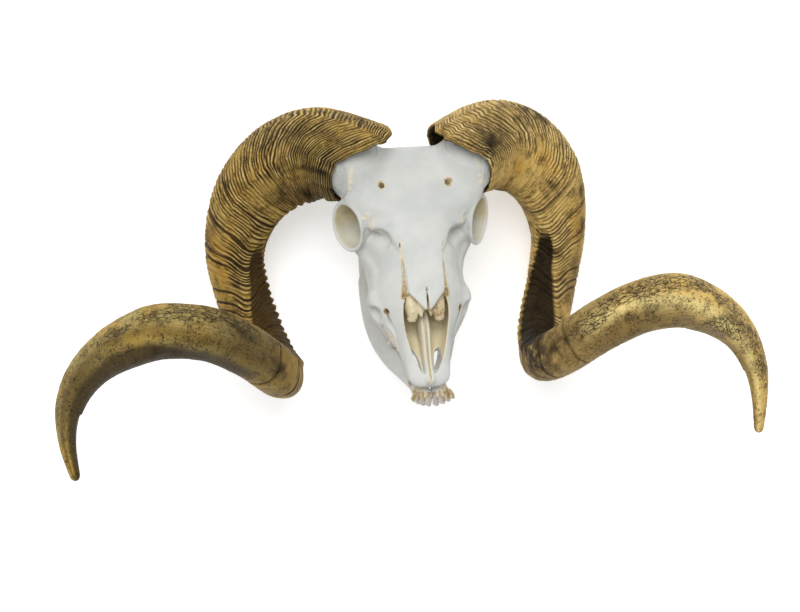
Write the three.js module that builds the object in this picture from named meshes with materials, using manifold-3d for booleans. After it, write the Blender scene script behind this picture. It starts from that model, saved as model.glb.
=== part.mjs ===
// A ram's skull with its lower jaw and both horn sheaths, life size.
// Millimetres, +Z up. The nose points to -Y and the animal's left is +X. The skull lies on the
// backs of its horns with its face up. Shapes are modelled in the skull's own frame, with the palate
// level and the origin at the tip of the upper jaw, and one group then tips them to the floor.
import * as THREE from "three";
import { mergeVertices } from "three/addons/utils/BufferGeometryUtils.js";
import Module from "manifold-3d";

const wasm = await Module();
wasm.setup();

// ---- Driving dimensions -------------------------------------------------------------------

const REST_TILT = 57; // degrees that the nose tips up as the skull lies back on its horns
const FLOOR_CUT = 1.5; // depth of the worn flats where the backs of the horns meet the floor
const GAP = 0.3; // clearance between pieces that touch
const BEYOND = 500; // half the size of a block that reaches past everything

// The body of the cranium, front to back. Each row is one cross-section:
// y, top, bottom, half width, squareness (2 is an ellipse), lean (above 0 is narrower at the top).
const BRAINCASE = [
  [-3, 4, -3, 11, 2.2, 0],
  [4, 9, -4, 18.5, 2.4, 0],
  [20, 20, -3, 21.3, 2.8, 0.04],
  [35, 32, -2, 25, 2.8, 0.1],
  [48, 45, -1, 31, 2.8, 0.18],
  [60, 58, 0, 36.5, 2.8, 0.3],
  [76, 67, 1, 42, 2.8, 0.36],
  [98, 78, 4, 43, 2.8, 0.34],
  [114, 84, 12, 47, 2.8, 0.34],
  [124, 86, 20, 50, 2.6, 0.3],
  [134, 89, 24, 44, 2.4, 0.15],
  [148, 94, 25, 31, 2.2, 0],
  [166, 100, 30, 32, 2.1, 0],
  [184, 103, 31, 33, 2.1, 0],
  [200, 96, 32, 29, 2.1, 0],
  [213, 78, 33, 29, 2.2, 0],
  [224, 67, 36, 26, 2.2, 0],
  [229, 62, 40, 18, 2.2, 0],
];

// The frontal bones, a broad shield that overhangs both orbits: same columns.
const BROW = [
  [94, 78, 66, 14, 2.4, 0],
  [104, 84, 66, 27, 2.4, 0],
  [114, 88, 67, 37, 2.6, 0],
  [126, 92, 69, 48, 2.8, 0],
  [138, 96, 73, 58, 2.8, 0],
  [150, 99, 76, 63, 2.8, 0],
  [160, 101, 77, 61, 2.6, 0],
  [172, 104, 76, 54, 2.4, 0],
  [184, 106, 75, 48, 2.4, 0],
  [194, 106, 75, 42, 2.4, 0],
  [202, 99, 76, 32, 2.2, 0],
];

// The nasal bones: a curved roof whose two points overhang the opening of the nose.
const NASAL = {
  tip: 46,
  root: 100, // y where they end in the forehead
  step: 9.5, // between their cross-sections
  run: 19, // from the tip to the full width
  rise: 7, // how much the tip turns up
  proud: 3,
  halfWidth: 18,
  tipWidth: 0.25, // as a share of the half width
  rounding: 0.7,
  thickness: 3.2,
  rootDepth: 12,
  squareness: 2.3,
  splitLength: 17,
  splitWidth: 2.4,
  splitBottom: 40, // z, in the opening of the nose
};

// The nasal cavity, cut from the snout: same columns as BRAINCASE.
const NOSE_CAVITY = [
  [3, 24, 5, 2.5, 2.2, 0],
  [9, 34, 4, 7, 2.4, 0],
  [20, 46, 4, 12, 2.6, 0],
  [36, 64, 4, 18, 2.8, 0],
  [50, 70, 5, 21, 2.8, 0.1],
  [60, 66, 6, 22, 2.8, 0.2],
  [66, 58, 8, 22, 2.6, 0.2],
  [80, 62, 10, 20, 2.6, 0.2],
  [98, 60, 16, 14, 2.2, 0],
];

// An orbit: a cup that widens from its root to its rim, and the socket scooped out of it.
const ORBIT = {
  at: [59.5, 137, 64.5],
  faces: [0.84, -0.47, 0.27],
  rim: 23,
  root: 14,
  cup: 28,
  socket: { out: 4, radii: [26, 19.5, 19.5] },
};
const TUBER = { at: [41.5, 77, 28], radii: [6.5, 11, 7] };
const BROW_HOLE = { at: [31, 155, 98], along: [0.1, -0.3, 1], radius: 2.2, length: 26 };
const CHEEK_HOLE = { at: [31, 66, 32], along: [1, -1, 0.4], radius: 2.6, length: 16 };
const PALATE_SLIT = { at: [9, 23, 0], radii: [13, 3.6, 14], along: [0.1, 1, 0] };

// In the nose: a scroll of bone on each side, the bar along the floor and the wall that rises from it.
const CONCHA = { at: [13.5, 66, 33], radii: [10, 27, 12.5] };
const NOSE_BAR = [
  [0, 1, 5, 5, 4],
  [0, 20, 7, 4.4, 6],
  [0, 44, 10, 3.6, 9],
  [0, 74, 14, 2, 12],
];
const SEPTUM = { low: [-1.4, 46, 6], high: [1.4, 96, 58] };

// The cheek arch, from the face past the orbit to the ear: x, y, z, half thickness, half height.
const CHEEK_ARCH = [
  [38, 78, 28, 5, 6],
  [43, 100, 38, 4, 7],
  [49, 118, 42, 4, 6],
  [58, 138, 43, 4, 6],
  [62, 156, 46, 3.5, 6],
  [61, 174, 51, 4, 5],
  [46, 190, 56, 6, 6],
];

// The base of the skull: the wings behind the palate, the ear capsules with their tubes, the spurs
// beside them, the two knuckles that met the neck, and the ridge across the nape.
const PALATE_WING = [
  [16, 118, 20, 2.5, 14],
  [17, 138, 22, 2.5, 13],
  [16, 154, 28, 3, 8],
];
const EAR_CAPSULE = { at: [18, 194, 29], radii: [8.5, 12, 11] };
const EAR_TUBE = { at: [42, 190, 54], along: [1, 0.15, 0.1], radius: 6, length: 18 };
const EAR_SPUR = [
  [26, 208, 46, 6, 9],
  [29, 212, 30, 4, 6],
  [29, 213, 12, 2.5, 3],
];
const NECK_KNUCKLE = { at: [17, 227, 44], radii: [9, 9, 12] };
const NAPE_RIDGE = { at: [0, 215, 71], radii: [27, 7, 7] };

// Hollows of the base: the vault of the palate, the throat and the hole for the spinal cord.
const PALATE_VAULT = { at: [0, 84, -10], radii: [20, 50, 12] };
const THROAT = { at: [0, 134, 14], radii: [12, 22, 12] };
const NECK_HOLE = { at: [0, 230, 57], along: [0, 1, 0.15], radius: 10.5, length: 34 };

// Cheek teeth, front to back: each crown's length along the row.
const CHEEK_TEETH = [8, 9, 10, 13, 16, 18];
const TOOTH = { frontWidth: 0.72, start: 0.4 }; // the first tooth's width as a share, where the row starts
const UPPER_ROW = { front: 52, x: [24, 32], halfWidth: 6.6, root: 10, crown: -11 };
const LOWER_ROW = { front: 50, x: [20, 33], halfWidth: 4.6, root: -34, crown: -11 - GAP - 0.2 };

// The lower jaw's body: x, y, z, half thickness, half height.
const JAW_BODY = [
  [8, -9, -12, 6.5, 4.5],
  [8.5, 2, -17, 7, 6],
  [10, 16, -23, 7, 8],
  [15, 32, -28, 6.5, 11],
  [21, 48, -32, 6.5, 14],
  [27, 66, -36, 7, 18],
  [33, 88, -38, 7.5, 21],
  [38, 110, -37, 7.5, 22],
  [41, 132, -33, 6.5, 22],
  [42, 150, -28, 5, 24],
];
// The jaw's upright branch, a plate seen from the side: y, z round its outline.
const JAW_BRANCH = [
  [128, -50], [146, -58], [164, -58], [178, -48], [183, -32], [178, -12], [177, 8],
  [181, 24], [192, 34], [190, 40], [180, 38], [174, 34], [173, 46], [177, 58], [173, 62],
  [165, 54], [158, 38], [152, 14], [141, -4], [126, -18],
];
const BRANCH = { x: 42, lean: 0.07, thickness: 7 };
const CONDYLE = { at: [47, 187, 38], radii: [11, 5, 4.2] };
const JAW_SHIFT = 3; // the lower jaw sits a little towards the left
// The front teeth stand on an arc, each a spade that leans forward and is a little smaller than the last.
const INCISOR = {
  perSide: 4,
  arc: [15.6, 10.5], // half width and depth of the arc
  at: [-2.5, -7], // y and z of the arc's middle
  step: 19, // degrees between teeth
  lean: 58,
  shrink: 0.08,
  size: [5.8, 15, 3.4], // width, length and thickness
  edge: 0.56, // radius at the biting edge and at the root, as shares of the width
  root: 0.35,
};

// A horn's centre line and its mean radius, root to tip: x, y, z, radius. The animal's left horn.
const HORN_ROUTE = [
  [42, 177, 103, 41],
  [80, 206, 93, 40.6],
  [111, 212, 76, 38.4],
  [136, 206, 50, 35.2],
  [151, 196, 17, 30.7],
  [157, 180, -17, 26.7],
  [151, 154, -47, 25],
  [141, 122, -66, 24.5],
  [131, 86, -66, 23.6],
  [127, 57, -46, 22.9],
  [139, 42, -16, 22.9],
  [165, 41, 13, 23],
  [200, 47, 31, 23.4],
  [237, 52, 33, 24.1],
  [267, 52, 21, 22.6],
  [293, 50, 2, 19.2],
  [313, 41, -19, 15.5],
  [325, 23, -40, 11.6],
  [327, -1, -59, 7.6],
  [322, -29, -73, 2.5],
];
const HORN = {
  rings: 36, // cross-sections from base to tip
  sides: 14, // corners of a cross-section
  steps: 400, // frames along the route
  cuts: [0.34, 0.66], // where the sheath is parted into lengths, as shares of the route
  innerStart: [0, -0.87, -0.5], // the inner edge starts towards the nose and is carried along the route
  edge: 0.06, // how far the three edges stand out, as a share of the radius
  flat: 0.05, // how much wider than deep the section is, as a share of the radius
};
// Where the sheath starts: degrees round it from its inner edge, and mm along the route. Below zero it
// reaches back over the brow, and droops towards the crest.
const RIM = [
  [0, 14],
  [45, 22],
  [90, 20],
  [135, 10],
  [180, -6],
  [205, -28],
  [232, -32],
  [257, -17],
  [283, 3],
  [360, 14],
];
const DROOP = { reach: 40, drop: 34, towards: [0.18, 0.6, -0.78] };
// The bone core and the hollow of the sheath over it, root to end, as shares of the horn's radius.
const CORE = { end: 0.15, root: 0.72, tip: 0.64, forward: 5, seat: [-20, -6, -25], seatSize: 0.95 };
const SOCKET = { end: 0.16, root: 0.93, tip: 0.72, rim: 0.88, behind: 44, step: 11 };

// ---- Solids -------------------------------------------------------------------------------

function solidOf(geometry) {
  const bare = geometry.index ? geometry.toNonIndexed() : geometry.clone();
  bare.deleteAttribute("normal");
  bare.deleteAttribute("uv");
  const merged = mergeVertices(bare, 1e-4);
  return new wasm.Manifold(
    new wasm.Mesh({
      numProp: 3,
      vertProperties: merged.attributes.position.array,
      triVerts: new Uint32Array(merged.index.array),
    }),
  );
}

function meshOf(solid, name, material) {
  const made = solid.getMesh();
  const geometry = new THREE.BufferGeometry();
  geometry.setAttribute("position", new THREE.BufferAttribute(made.vertProperties, 3));
  geometry.setIndex(new THREE.BufferAttribute(made.triVerts, 1));
  geometry.computeVertexNormals();
  const mesh = new THREE.Mesh(geometry, material);
  mesh.name = name;
  return mesh;
}

const join = (solids) => solids.reduce((whole, piece) => whole.add(piece));
const cut = (solid, tools) => tools.reduce((left, tool) => left.subtract(tool), solid);
const bothSides = (solid) => [solid, solid.mirror([1, 0, 0])];

// ---- Shapes -------------------------------------------------------------------------------

// A closed surface through rings of the same number of points, capped at both ends.
function loft(rings) {
  const sides = rings[0].length;
  const points = rings.flat();
  const middle = (ring) =>
    ring.reduce((sum, p) => sum.add(p), new THREE.Vector3()).divideScalar(sides);
  const first = points.push(middle(rings[0])) - 1;
  const last = points.push(middle(rings.at(-1))) - 1;
  const index = [];
  const end = (rings.length - 1) * sides;
  for (let k = 0; k < sides; k++) {
    const next = (k + 1) % sides;
    for (let r = 0; r < end; r += sides) {
      index.push(r + k, r + next, r + sides + k);
      index.push(r + next, r + sides + next, r + sides + k);
    }
    index.push(first, next, k);
    index.push(last, end + k, end + next);
  }
  const geometry = new THREE.BufferGeometry().setFromPoints(points);
  geometry.setIndex(index);
  return geometry;
}

// A row between the given rows, along a smooth curve through every column.
function rowAt(rows, share) {
  const at = share * (rows.length - 1);
  const i = Math.min(Math.floor(at), rows.length - 2);
  const t = at - i;
  const row = (n) => rows[Math.max(0, Math.min(rows.length - 1, n))];
  return rows[i].map((_, c) => {
    const [a, b, d, e] = [row(i - 1)[c], row(i)[c], row(i + 1)[c], row(i + 2)[c]];
    return b + 0.5 * t * (d - a + t * (2 * a - 5 * b + 4 * d - e + t * (3 * (b - d) + e - a)));
  });
}

const signedPower = (value, power) => Math.sign(value) * Math.abs(value) ** power;

// A body along Y with squared-off elliptical sections, from rows like BRAINCASE's.
function spindle(rows, sides = 16) {
  const rings = rows.map(([y, top, bottom, halfWidth, squareness, lean]) => {
    const ring = [];
    for (let k = 0; k < sides; k++) {
      const angle = (2 * Math.PI * (k + 0.5)) / sides;
      const across = signedPower(Math.cos(angle), 2 / squareness);
      const up = signedPower(Math.sin(angle), 2 / squareness);
      const z = (top + bottom) / 2 + (up * (top - bottom)) / 2;
      ring.push(new THREE.Vector3(-halfWidth * across * (1 - lean * up), y, z));
    }
    return ring;
  });
  return solidOf(loft(rings));
}

// A geometry turned so that one of its axes points along a direction, and moved to a point.
function placed(geometry, axis, along, at) {
  const to = new THREE.Vector3(...along).normalize();
  const turn = new THREE.Quaternion().setFromUnitVectors(new THREE.Vector3(...axis), to);
  return solidOf(geometry.applyQuaternion(turn).translate(...at));
}

// An ellipsoid whose first radius points along a direction.
function ball({ at, radii, along = [1, 0, 0] }, sides = 8) {
  const geometry = new THREE.SphereGeometry(1, sides, Math.ceil(sides * 0.6));
  return placed(geometry.scale(...radii), [1, 0, 0], along, at);
}

// A round bar centred at a point, which may widen towards a rim at the end it points to.
function peg({ at, along, radius, length, rim = radius }, sides) {
  const geometry = new THREE.CylinderGeometry(rim, radius, length, sides);
  return placed(geometry, [0, 1, 0], along, at);
}

function box(low, high) {
  const size = high.map((v, i) => v - low[i]);
  const geometry = new THREE.BoxGeometry(...size);
  geometry.translate(...high.map((v, i) => (v + low[i]) / 2));
  return solidOf(geometry);
}

const BLUNT = { reach: 0.7, size: 0.55 }; // a bar's end, as shares of its half thickness

// A bar through rows of x, y, z, half thickness (sideways) and half height, with blunt ends.
function bar(rows, sides) {
  const count = rows.length - 1;
  const point = (share) => new THREE.Vector3(...rowAt(rows, Math.min(1, Math.max(0, share))));
  const rings = [];
  const addRing = (share, shift, shrink) => {
    const row = rowAt(rows, share);
    const along = point(share + 0.01).sub(point(share - 0.01)).normalize();
    const side = new THREE.Vector3().crossVectors(along, new THREE.Vector3(0, 0, 1)).normalize();
    const up = new THREE.Vector3().crossVectors(side, along);
    const centre = new THREE.Vector3(...row).addScaledVector(along, shift);
    const ring = [];
    for (let k = 0; k < sides; k++) {
      const angle = (2 * Math.PI * k) / sides;
      ring.push(
        centre
          .clone()
          .addScaledVector(side, -Math.cos(angle) * row[3] * shrink)
          .addScaledVector(up, Math.sin(angle) * row[4] * shrink),
      );
    }
    rings.push(ring);
  };
  const [first, last] = [rows[0][3], rows.at(-1)[3]];
  addRing(0, -BLUNT.reach * first, BLUNT.size);
  for (let r = 0; r <= count; r++) addRing(r / count, 0, 1);
  addRing(1, BLUNT.reach * last, BLUNT.size);
  return solidOf(loft(rings));
}

// ---- Cranium ------------------------------------------------------------------------------

// The top of the snout and forehead at y, from the rows of the cranium's body.
function topAt(y) {
  const i = Math.max(0, BRAINCASE.findIndex((row) => row[0] > y) - 1);
  const [a, b] = [BRAINCASE[i], BRAINCASE[i + 1]];
  return a[1] + ((b[1] - a[1]) * (y - a[0])) / (b[0] - a[0]);
}

function nasals() {
  const { tip, rise, proud, halfWidth, tipWidth, thickness, rootDepth } = NASAL;
  const rows = [];
  for (let y = tip; y <= NASAL.root; y += NASAL.step) {
    const back = Math.min(1, (y - tip) / NASAL.run);
    const top = topAt(y) + rise * (1 - back) + proud;
    const width = halfWidth * (tipWidth + (1 - tipWidth) * back ** NASAL.rounding);
    rows.push([y, top, top - thickness - rootDepth * back, width, NASAL.squareness, 0]);
  }
  return spindle(rows, 12);
}

function toothRow({ front, x, halfWidth, root, crown }) {
  const total = CHEEK_TEETH.reduce((sum, length) => sum + length);
  let y = front;
  return join(
    CHEEK_TEETH.map((length) => {
      const share = (y + length / 2 - front) / total;
      const middle = x[0] + (x[1] - x[0]) * share;
      const wide = halfWidth * (TOOTH.frontWidth + (1 - TOOTH.frontWidth) * share);
      const low = Math.min(root, crown);
      const high = Math.max(root, crown);
      const from = y + TOOTH.start;
      y += length;
      return box([middle - wide, from, low], [middle + wide, from + length, high]);
    }),
  );
}

// A point some way along a direction from another.
function beyond(at, direction, distance) {
  const along = new THREE.Vector3(...direction).normalize();
  return new THREE.Vector3(...at).addScaledVector(along, distance).toArray();
}

function craniumSolid(hornCores) {
  const { at: eye, faces, rim, root, cup, socket } = ORBIT;
  const side = [
    peg({ at: beyond(eye, faces, -cup / 2), along: faces, radius: root, length: cup, rim }, 14),
    ball(TUBER),
    bar(CHEEK_ARCH, 6),
    ball(EAR_CAPSULE),
    peg(EAR_TUBE, 8),
    bar(EAR_SPUR, 6),
    ball(NECK_KNUCKLE),
    bar(PALATE_WING, 6),
    toothRow(UPPER_ROW),
  ];
  const bones = join([
    spindle(BRAINCASE),
    spindle(BROW, 14),
    ball(NAPE_RIDGE),
    ...side.flatMap(bothSides),
    ...hornCores,
  ]);
  const sideCuts = [
    ball({ at: beyond(eye, faces, socket.out), radii: socket.radii, along: faces }, 12),
    peg(BROW_HOLE, 6),
    peg(CHEEK_HOLE, 6),
    ball(PALATE_SLIT),
  ];
  const hollow = cut(bones, [
    spindle(NOSE_CAVITY, 12),
    ball(PALATE_VAULT),
    ball(THROAT),
    peg(NECK_HOLE, 12),
    ...sideCuts.flatMap(bothSides),
  ]);

  const { splitLength, splitWidth, splitBottom, tip } = NASAL;
  const split = box([-splitWidth / 2, 0, splitBottom], [splitWidth / 2, tip + splitLength, BEYOND]);
  return join([
    cut(hollow.add(nasals()), [split]),
    bar(NOSE_BAR, 8),
    box(SEPTUM.low, SEPTUM.high),
    ...bothSides(ball(CONCHA)),
  ]);
}

// ---- Lower jaw ----------------------------------------------------------------------------

function incisors() {
  const { perSide, arc, at, step, lean, shrink, size, edge, root } = INCISOR;
  const [width, length, thickness] = size;
  const teeth = [];
  for (let k = 0; k < perSide; k++) {
    const angle = THREE.MathUtils.degToRad((k + 0.5) * step);
    const crown = new THREE.CylinderGeometry(edge * width, root * width, length, 6);
    crown.scale(1, 1, thickness / width);
    crown.scale(...Array(3).fill(1 - shrink * k));
    crown.rotateX(THREE.MathUtils.degToRad(lean));
    crown.rotateZ(angle);
    crown.translate(arc[0] * Math.sin(angle), at[0] - arc[1] * Math.cos(angle), at[1]);
    teeth.push(solidOf(crown));
  }
  return join(teeth);
}

function jawSolid() {
  const outline = new THREE.Shape(JAW_BRANCH.map(([y, z]) => new THREE.Vector2(y, z)));
  const { x, lean, thickness } = BRANCH;
  const plate = new THREE.ExtrudeGeometry(outline, {
    depth: thickness, bevelEnabled: false, steps: 1,
  });
  // The outline lies in XY and is extruded along Z: turn it to YZ, extruded along X.
  plate.applyMatrix4(new THREE.Matrix4().makeBasis(
    new THREE.Vector3(0, 1, 0), new THREE.Vector3(lean, 0, 1), new THREE.Vector3(1, 0, 0),
  ));
  plate.translate(x - thickness / 2, 0, 0);
  const half = join([
    bar(JAW_BODY, 10),
    solidOf(plate),
    ball(CONDYLE),
    toothRow(LOWER_ROW),
    incisors(),
  ]);
  return cut(half, [box([-BEYOND, -BEYOND, -BEYOND], [GAP / 2, BEYOND, BEYOND])]);
}

// ---- Horns --------------------------------------------------------------------------------

// Frames along a horn's route: its points, radii and a section direction that doesn't twist.
function hornFrames() {
  const frames = [];
  for (let k = 0; k <= HORN.steps; k++) {
    const row = rowAt(HORN_ROUTE, k / HORN.steps);
    frames.push({ at: new THREE.Vector3(...row), radius: row[3] });
  }
  let length = 0;
  frames.forEach((frame, k) => {
    const before = frames[Math.max(0, k - 1)].at;
    const after = frames[Math.min(HORN.steps, k + 1)].at;
    frame.along = after.clone().sub(before).normalize();
    length += frame.at.distanceTo(before);
    frame.length = length;
    const inner = k ? frames[k - 1].inner.clone() : new THREE.Vector3(...HORN.innerStart);
    frame.inner = inner.addScaledVector(frame.along, -inner.dot(frame.along)).normalize();
    frame.across = new THREE.Vector3().crossVectors(frame.along, frame.inner);
  });
  return frames;
}

const FRAMES = hornFrames();

function frameAt(share) {
  const wanted = Math.min(share, 1) * FRAMES.at(-1).length;
  const i = Math.max(1, FRAMES.findIndex((frame) => frame.length >= wanted - 1e-6));
  const [a, b] = [FRAMES[i - 1], FRAMES[i]];
  const t = (wanted - a.length) / (b.length - a.length);
  return {
    at: a.at.clone().lerp(b.at, t),
    radius: a.radius + (b.radius - a.radius) * t,
    along: a.along,
    inner: a.inner.clone().lerp(b.inner, t),
    across: a.across.clone().lerp(b.across, t),
  };
}

// One corner of a rounded three-sided section, with edges at 0, 120 and 240 degrees from the inner one.
function hornPoint(share, angle, scale = 1, forward = 0, shift = 0) {
  const { at, radius, along, inner, across } = frameAt(share);
  const form = 1 + HORN.edge * Math.cos(3 * angle) + HORN.flat * Math.cos(2 * angle);
  const reach = radius * scale * form;
  return at
    .clone()
    .addScaledVector(along, shift)
    .addScaledVector(inner, Math.cos(angle) * reach + forward)
    .addScaledVector(across, Math.sin(angle) * reach);
}

const corners = [...Array(HORN.sides).keys()].map((k) => (2 * Math.PI * k) / HORN.sides);

// Where the sheath's rim is at an angle round it, as a share of the route.
function rimAt(angle) {
  const turn = THREE.MathUtils.radToDeg(angle);
  const i = RIM.findIndex(([to]) => to > turn);
  const [[a, from], [b, to]] = [RIM[i - 1], RIM[i]];
  return (from + ((to - from) * (turn - a)) / (b - a)) / FRAMES.at(-1).length;
}

// How far a point of the rim that lies behind the route's start droops.
function droopAt(share) {
  const behind = Math.max(0, -share * FRAMES.at(-1).length);
  return new THREE.Vector3(...DROOP.towards).multiplyScalar(DROOP.drop * (behind / DROOP.reach) ** 2);
}

// A length of sheath, whose ends are pulled in by two thirds of a gap. The first one starts at the rim.
function hornLength(from, to) {
  const count = Math.round((to - from) * HORN.rings);
  const pull = (GAP * 2) / 3;
  const rings = [];
  for (let r = 0; r <= count; r++) {
    const shift = r === 0 ? pull : r === count ? -pull : 0;
    rings.push(
      corners.map((angle) => {
        const start = from || rimAt(angle);
        const share = start + ((to - start) * r) / count;
        return hornPoint(share, angle, 1, 0, shift).add(droopAt(share));
      }),
    );
  }
  return solidOf(loft(rings));
}

// A tapering plug along the horn's root, for the bone core and for the hollow over it. The core's
// first ring is its seat, deep in the frontal bone. The hollow goes on back past the sheath's rim.
function hornPlug({ end, root, tip, rim, forward = 0, seat, seatSize }, rings = 5) {
  const made = [];
  const length = FRAMES.at(-1).length;
  if (seat) {
    const toSeat = (point) => point.add(new THREE.Vector3(...seat));
    made.push(corners.map((angle) => toSeat(hornPoint(0, angle, root * seatSize, forward))));
  } else {
    for (let { behind } = SOCKET; behind > 0; behind -= SOCKET.step) {
      const share = -behind / length;
      made.push(corners.map((angle) => hornPoint(share, angle, rim).add(droopAt(share))));
    }
  }
  for (let r = 0; r <= rings; r++) {
    const t = r / rings;
    const scale = root + (tip - root) * t;
    made.push(corners.map((angle) => hornPoint(end * t, angle, scale, forward * (1 - t))));
  }
  return solidOf(loft(made));
}

function hornSolids() {
  const [first, second] = HORN.cuts;
  return {
    base: cut(hornLength(0, first), [hornPlug(SOCKET)]),
    middle: hornLength(first, second),
    tip: hornLength(second, 1),
  };
}

// ---- The skull ----------------------------------------------------------------------------

const bone = new THREE.MeshStandardMaterial({ color: 0xe8e6dd, roughness: 0.55, metalness: 0 });
const horn = new THREE.MeshStandardMaterial({ color: 0x8a6a3a, roughness: 0.6, metalness: 0 });

function lowestPoint(solids, tilt) {
  const turned = solids.map((solid) => solid.rotate([-tilt, 0, 0]).boundingBox().min[2]);
  return Math.min(...turned);
}

function build() {
  const lengths = hornSolids();
  const floor = lowestPoint(Object.values(lengths), REST_TILT) + FLOOR_CUT;
  const ground = box([-BEYOND, -BEYOND, -BEYOND], [BEYOND, BEYOND, floor]).rotate([REST_TILT, 0, 0]);

  const skull = new THREE.Group();
  skull.rotation.x = THREE.MathUtils.degToRad(-REST_TILT);
  const jaw = jawSolid();
  const cranium = craniumSolid(bothSides(hornPlug(CORE)));
  skull.add(meshOf(cranium, "cranium", bone));
  for (const [side, half] of Object.entries({ left: jaw, right: jaw.mirror([1, 0, 0]) })) {
    skull.add(meshOf(half.translate([JAW_SHIFT, 0, 0]), `mandible_${side}`, bone));
  }
  for (const [part, solid] of Object.entries(lengths)) {
    const [left, right] = bothSides(cut(solid, [ground]));
    skull.add(meshOf(left, `horn_left_${part}`, horn));
    skull.add(meshOf(right, `horn_right_${part}`, horn));
  }

  // The origin is on the floor under the middle of the skull's bounding box.
  const root = new THREE.Group();
  root.add(skull);
  const middle = new THREE.Box3().setFromObject(skull, true).getCenter(new THREE.Vector3());
  skull.position.set(-middle.x, -middle.y, -floor);
  return root;
}

export default build();
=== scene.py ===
"""A ram's skull with its lower jaw and both horn sheaths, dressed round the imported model.

Shapes are made in the skull's own frame, in millimetres: x to the animal's left, y from the tip of
the upper jaw to the nape, z from the palate to the brow. The bones are built up like clay on a grid,
from bodies, bars and hollows, and skinned. The horn sheaths are surfaces along a route. At the end
everything is tipped back on the horns and set down in the frame, in metres.
"""

import math

import bpy
import numpy as np
from mathutils import Matrix, Vector


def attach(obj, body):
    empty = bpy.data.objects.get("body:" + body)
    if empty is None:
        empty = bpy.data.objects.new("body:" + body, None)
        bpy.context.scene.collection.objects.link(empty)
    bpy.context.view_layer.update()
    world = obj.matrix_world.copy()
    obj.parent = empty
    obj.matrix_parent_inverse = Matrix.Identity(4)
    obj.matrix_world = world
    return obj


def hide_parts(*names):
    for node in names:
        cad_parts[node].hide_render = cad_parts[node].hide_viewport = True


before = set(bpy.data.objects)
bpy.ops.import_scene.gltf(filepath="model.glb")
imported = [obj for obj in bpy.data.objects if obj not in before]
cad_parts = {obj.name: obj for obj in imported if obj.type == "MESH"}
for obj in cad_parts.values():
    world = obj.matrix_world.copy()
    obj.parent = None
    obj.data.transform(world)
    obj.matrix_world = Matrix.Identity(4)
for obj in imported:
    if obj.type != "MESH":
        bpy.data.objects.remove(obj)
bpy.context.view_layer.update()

# ---- The skull's place -----------------------------------------------------------------------

REST_TILT = math.radians(57)  # the nose tips up as the skull lies back on its horns
SKULL_AT = np.array([0.0, -76.31, 186.13])  # the tip of the upper jaw, over the floor
JAW_SHIFT = 3.0  # the lower jaw sits a little towards the left


def to_frame(points):
    """Points of the skull's own frame, in millimetres, as places in the row frame in metres."""
    x, y, z = np.asarray(points, float).T
    cos, sin = math.cos(REST_TILT), math.sin(REST_TILT)
    return (np.stack([x, y * cos + z * sin, z * cos - y * sin], 1) + SKULL_AT) / 1000


# ---- Noise and curves ------------------------------------------------------------------------


def noise(points, size, seed=0):
    """Smooth bumps about size across, from -1 to 1, the same on every run."""
    scaled = np.asarray(points, np.float64) / size + seed * 17.31
    cell = np.floor(scaled).astype(np.int64)
    part = scaled - cell
    part = part**3 * (part * (part * 6 - 15) + 10)
    total = np.zeros(len(scaled))
    for corner in range(8):
        offset = np.array([corner & 1, corner >> 1 & 1, corner >> 2 & 1])
        x, y, z = (cell + offset).T
        mixed = (x * 374761393 + y * 668265263 + z * 1442695041 + seed * 97) & 0x7FFFFFFF
        mixed = ((mixed ^ (mixed >> 13)) * 1274126177) & 0x7FFFFFFF
        value = (mixed ^ (mixed >> 16)) % 65536 / 32767.5 - 1
        total += value * np.prod(np.where(offset, part, 1 - part), axis=1)
    return total


def rough(points, size, seed=0, layers=3):
    """Noise with finer layers on it."""
    return sum(noise(points, size / 2**n, seed + n) / 2**n for n in range(layers)) / 1.6


def smooth_rows(rows, count):
    """Rows along a smooth curve through the given ones, in every column."""
    rows = np.asarray(rows, float)
    at = np.linspace(0, len(rows) - 1, count)
    i = np.minimum(at.astype(int), len(rows) - 2)
    t = (at - i)[:, None]
    a, b, d, e = (rows[np.clip(i + n, 0, len(rows) - 1)] for n in (-1, 0, 1, 2))
    return b + 0.5 * t * (d - a + t * (2 * a - 5 * b + 4 * d - e + t * (3 * (b - d) + e - a)))


def unit(vector):
    vector = np.asarray(vector, float)
    return vector / np.linalg.norm(vector)


def axes_of(along):
    """Three unit axes, the first of them along a direction. Given axes are passed through."""
    if np.ndim(along) == 2:
        return along
    first = unit(along)
    helper = (0, 0, 1) if abs(first[2]) < 0.9 else (0, 1, 0)
    second = unit(np.cross(helper, first))
    return np.array([first, second, np.cross(first, second)])


def fade(value, start, end):
    """0 before start and 1 after end, with a smooth rise between."""
    t = np.clip((value - start) / (end - start), 0, 1)
    return t * t * (3 - 2 * t)


def bell(value, width):
    """1 where the value is 0, and less the further it is from 0 on either side."""
    return np.exp(-((value / width) ** 2))


def between(value, a, b, c, d):
    """Rises from 0 to 1 between a and b, and falls again between c and d."""
    return fade(value, a, b) * (1 - fade(value, c, d))


# ---- Clay: bodies, bars and hollows on a grid ------------------------------------------------

FAR = 1e3
LINKS = 4  # in a bar, from one row to the next
THINNEST = 0.4  # mm, half of the thinnest bar
WIDEN = 1.5  # a blend fades out over this many times its own size


def lesser(a, b, blend):
    """The smaller of two distances, rounded over where they are within blend of each other."""
    if blend <= 0:
        return np.minimum(a, b)
    reach = WIDEN * blend
    over = np.maximum(reach - np.abs(a - b), 0)
    return np.minimum(a, b) - over**3 / (6 * reach * reach)


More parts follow.
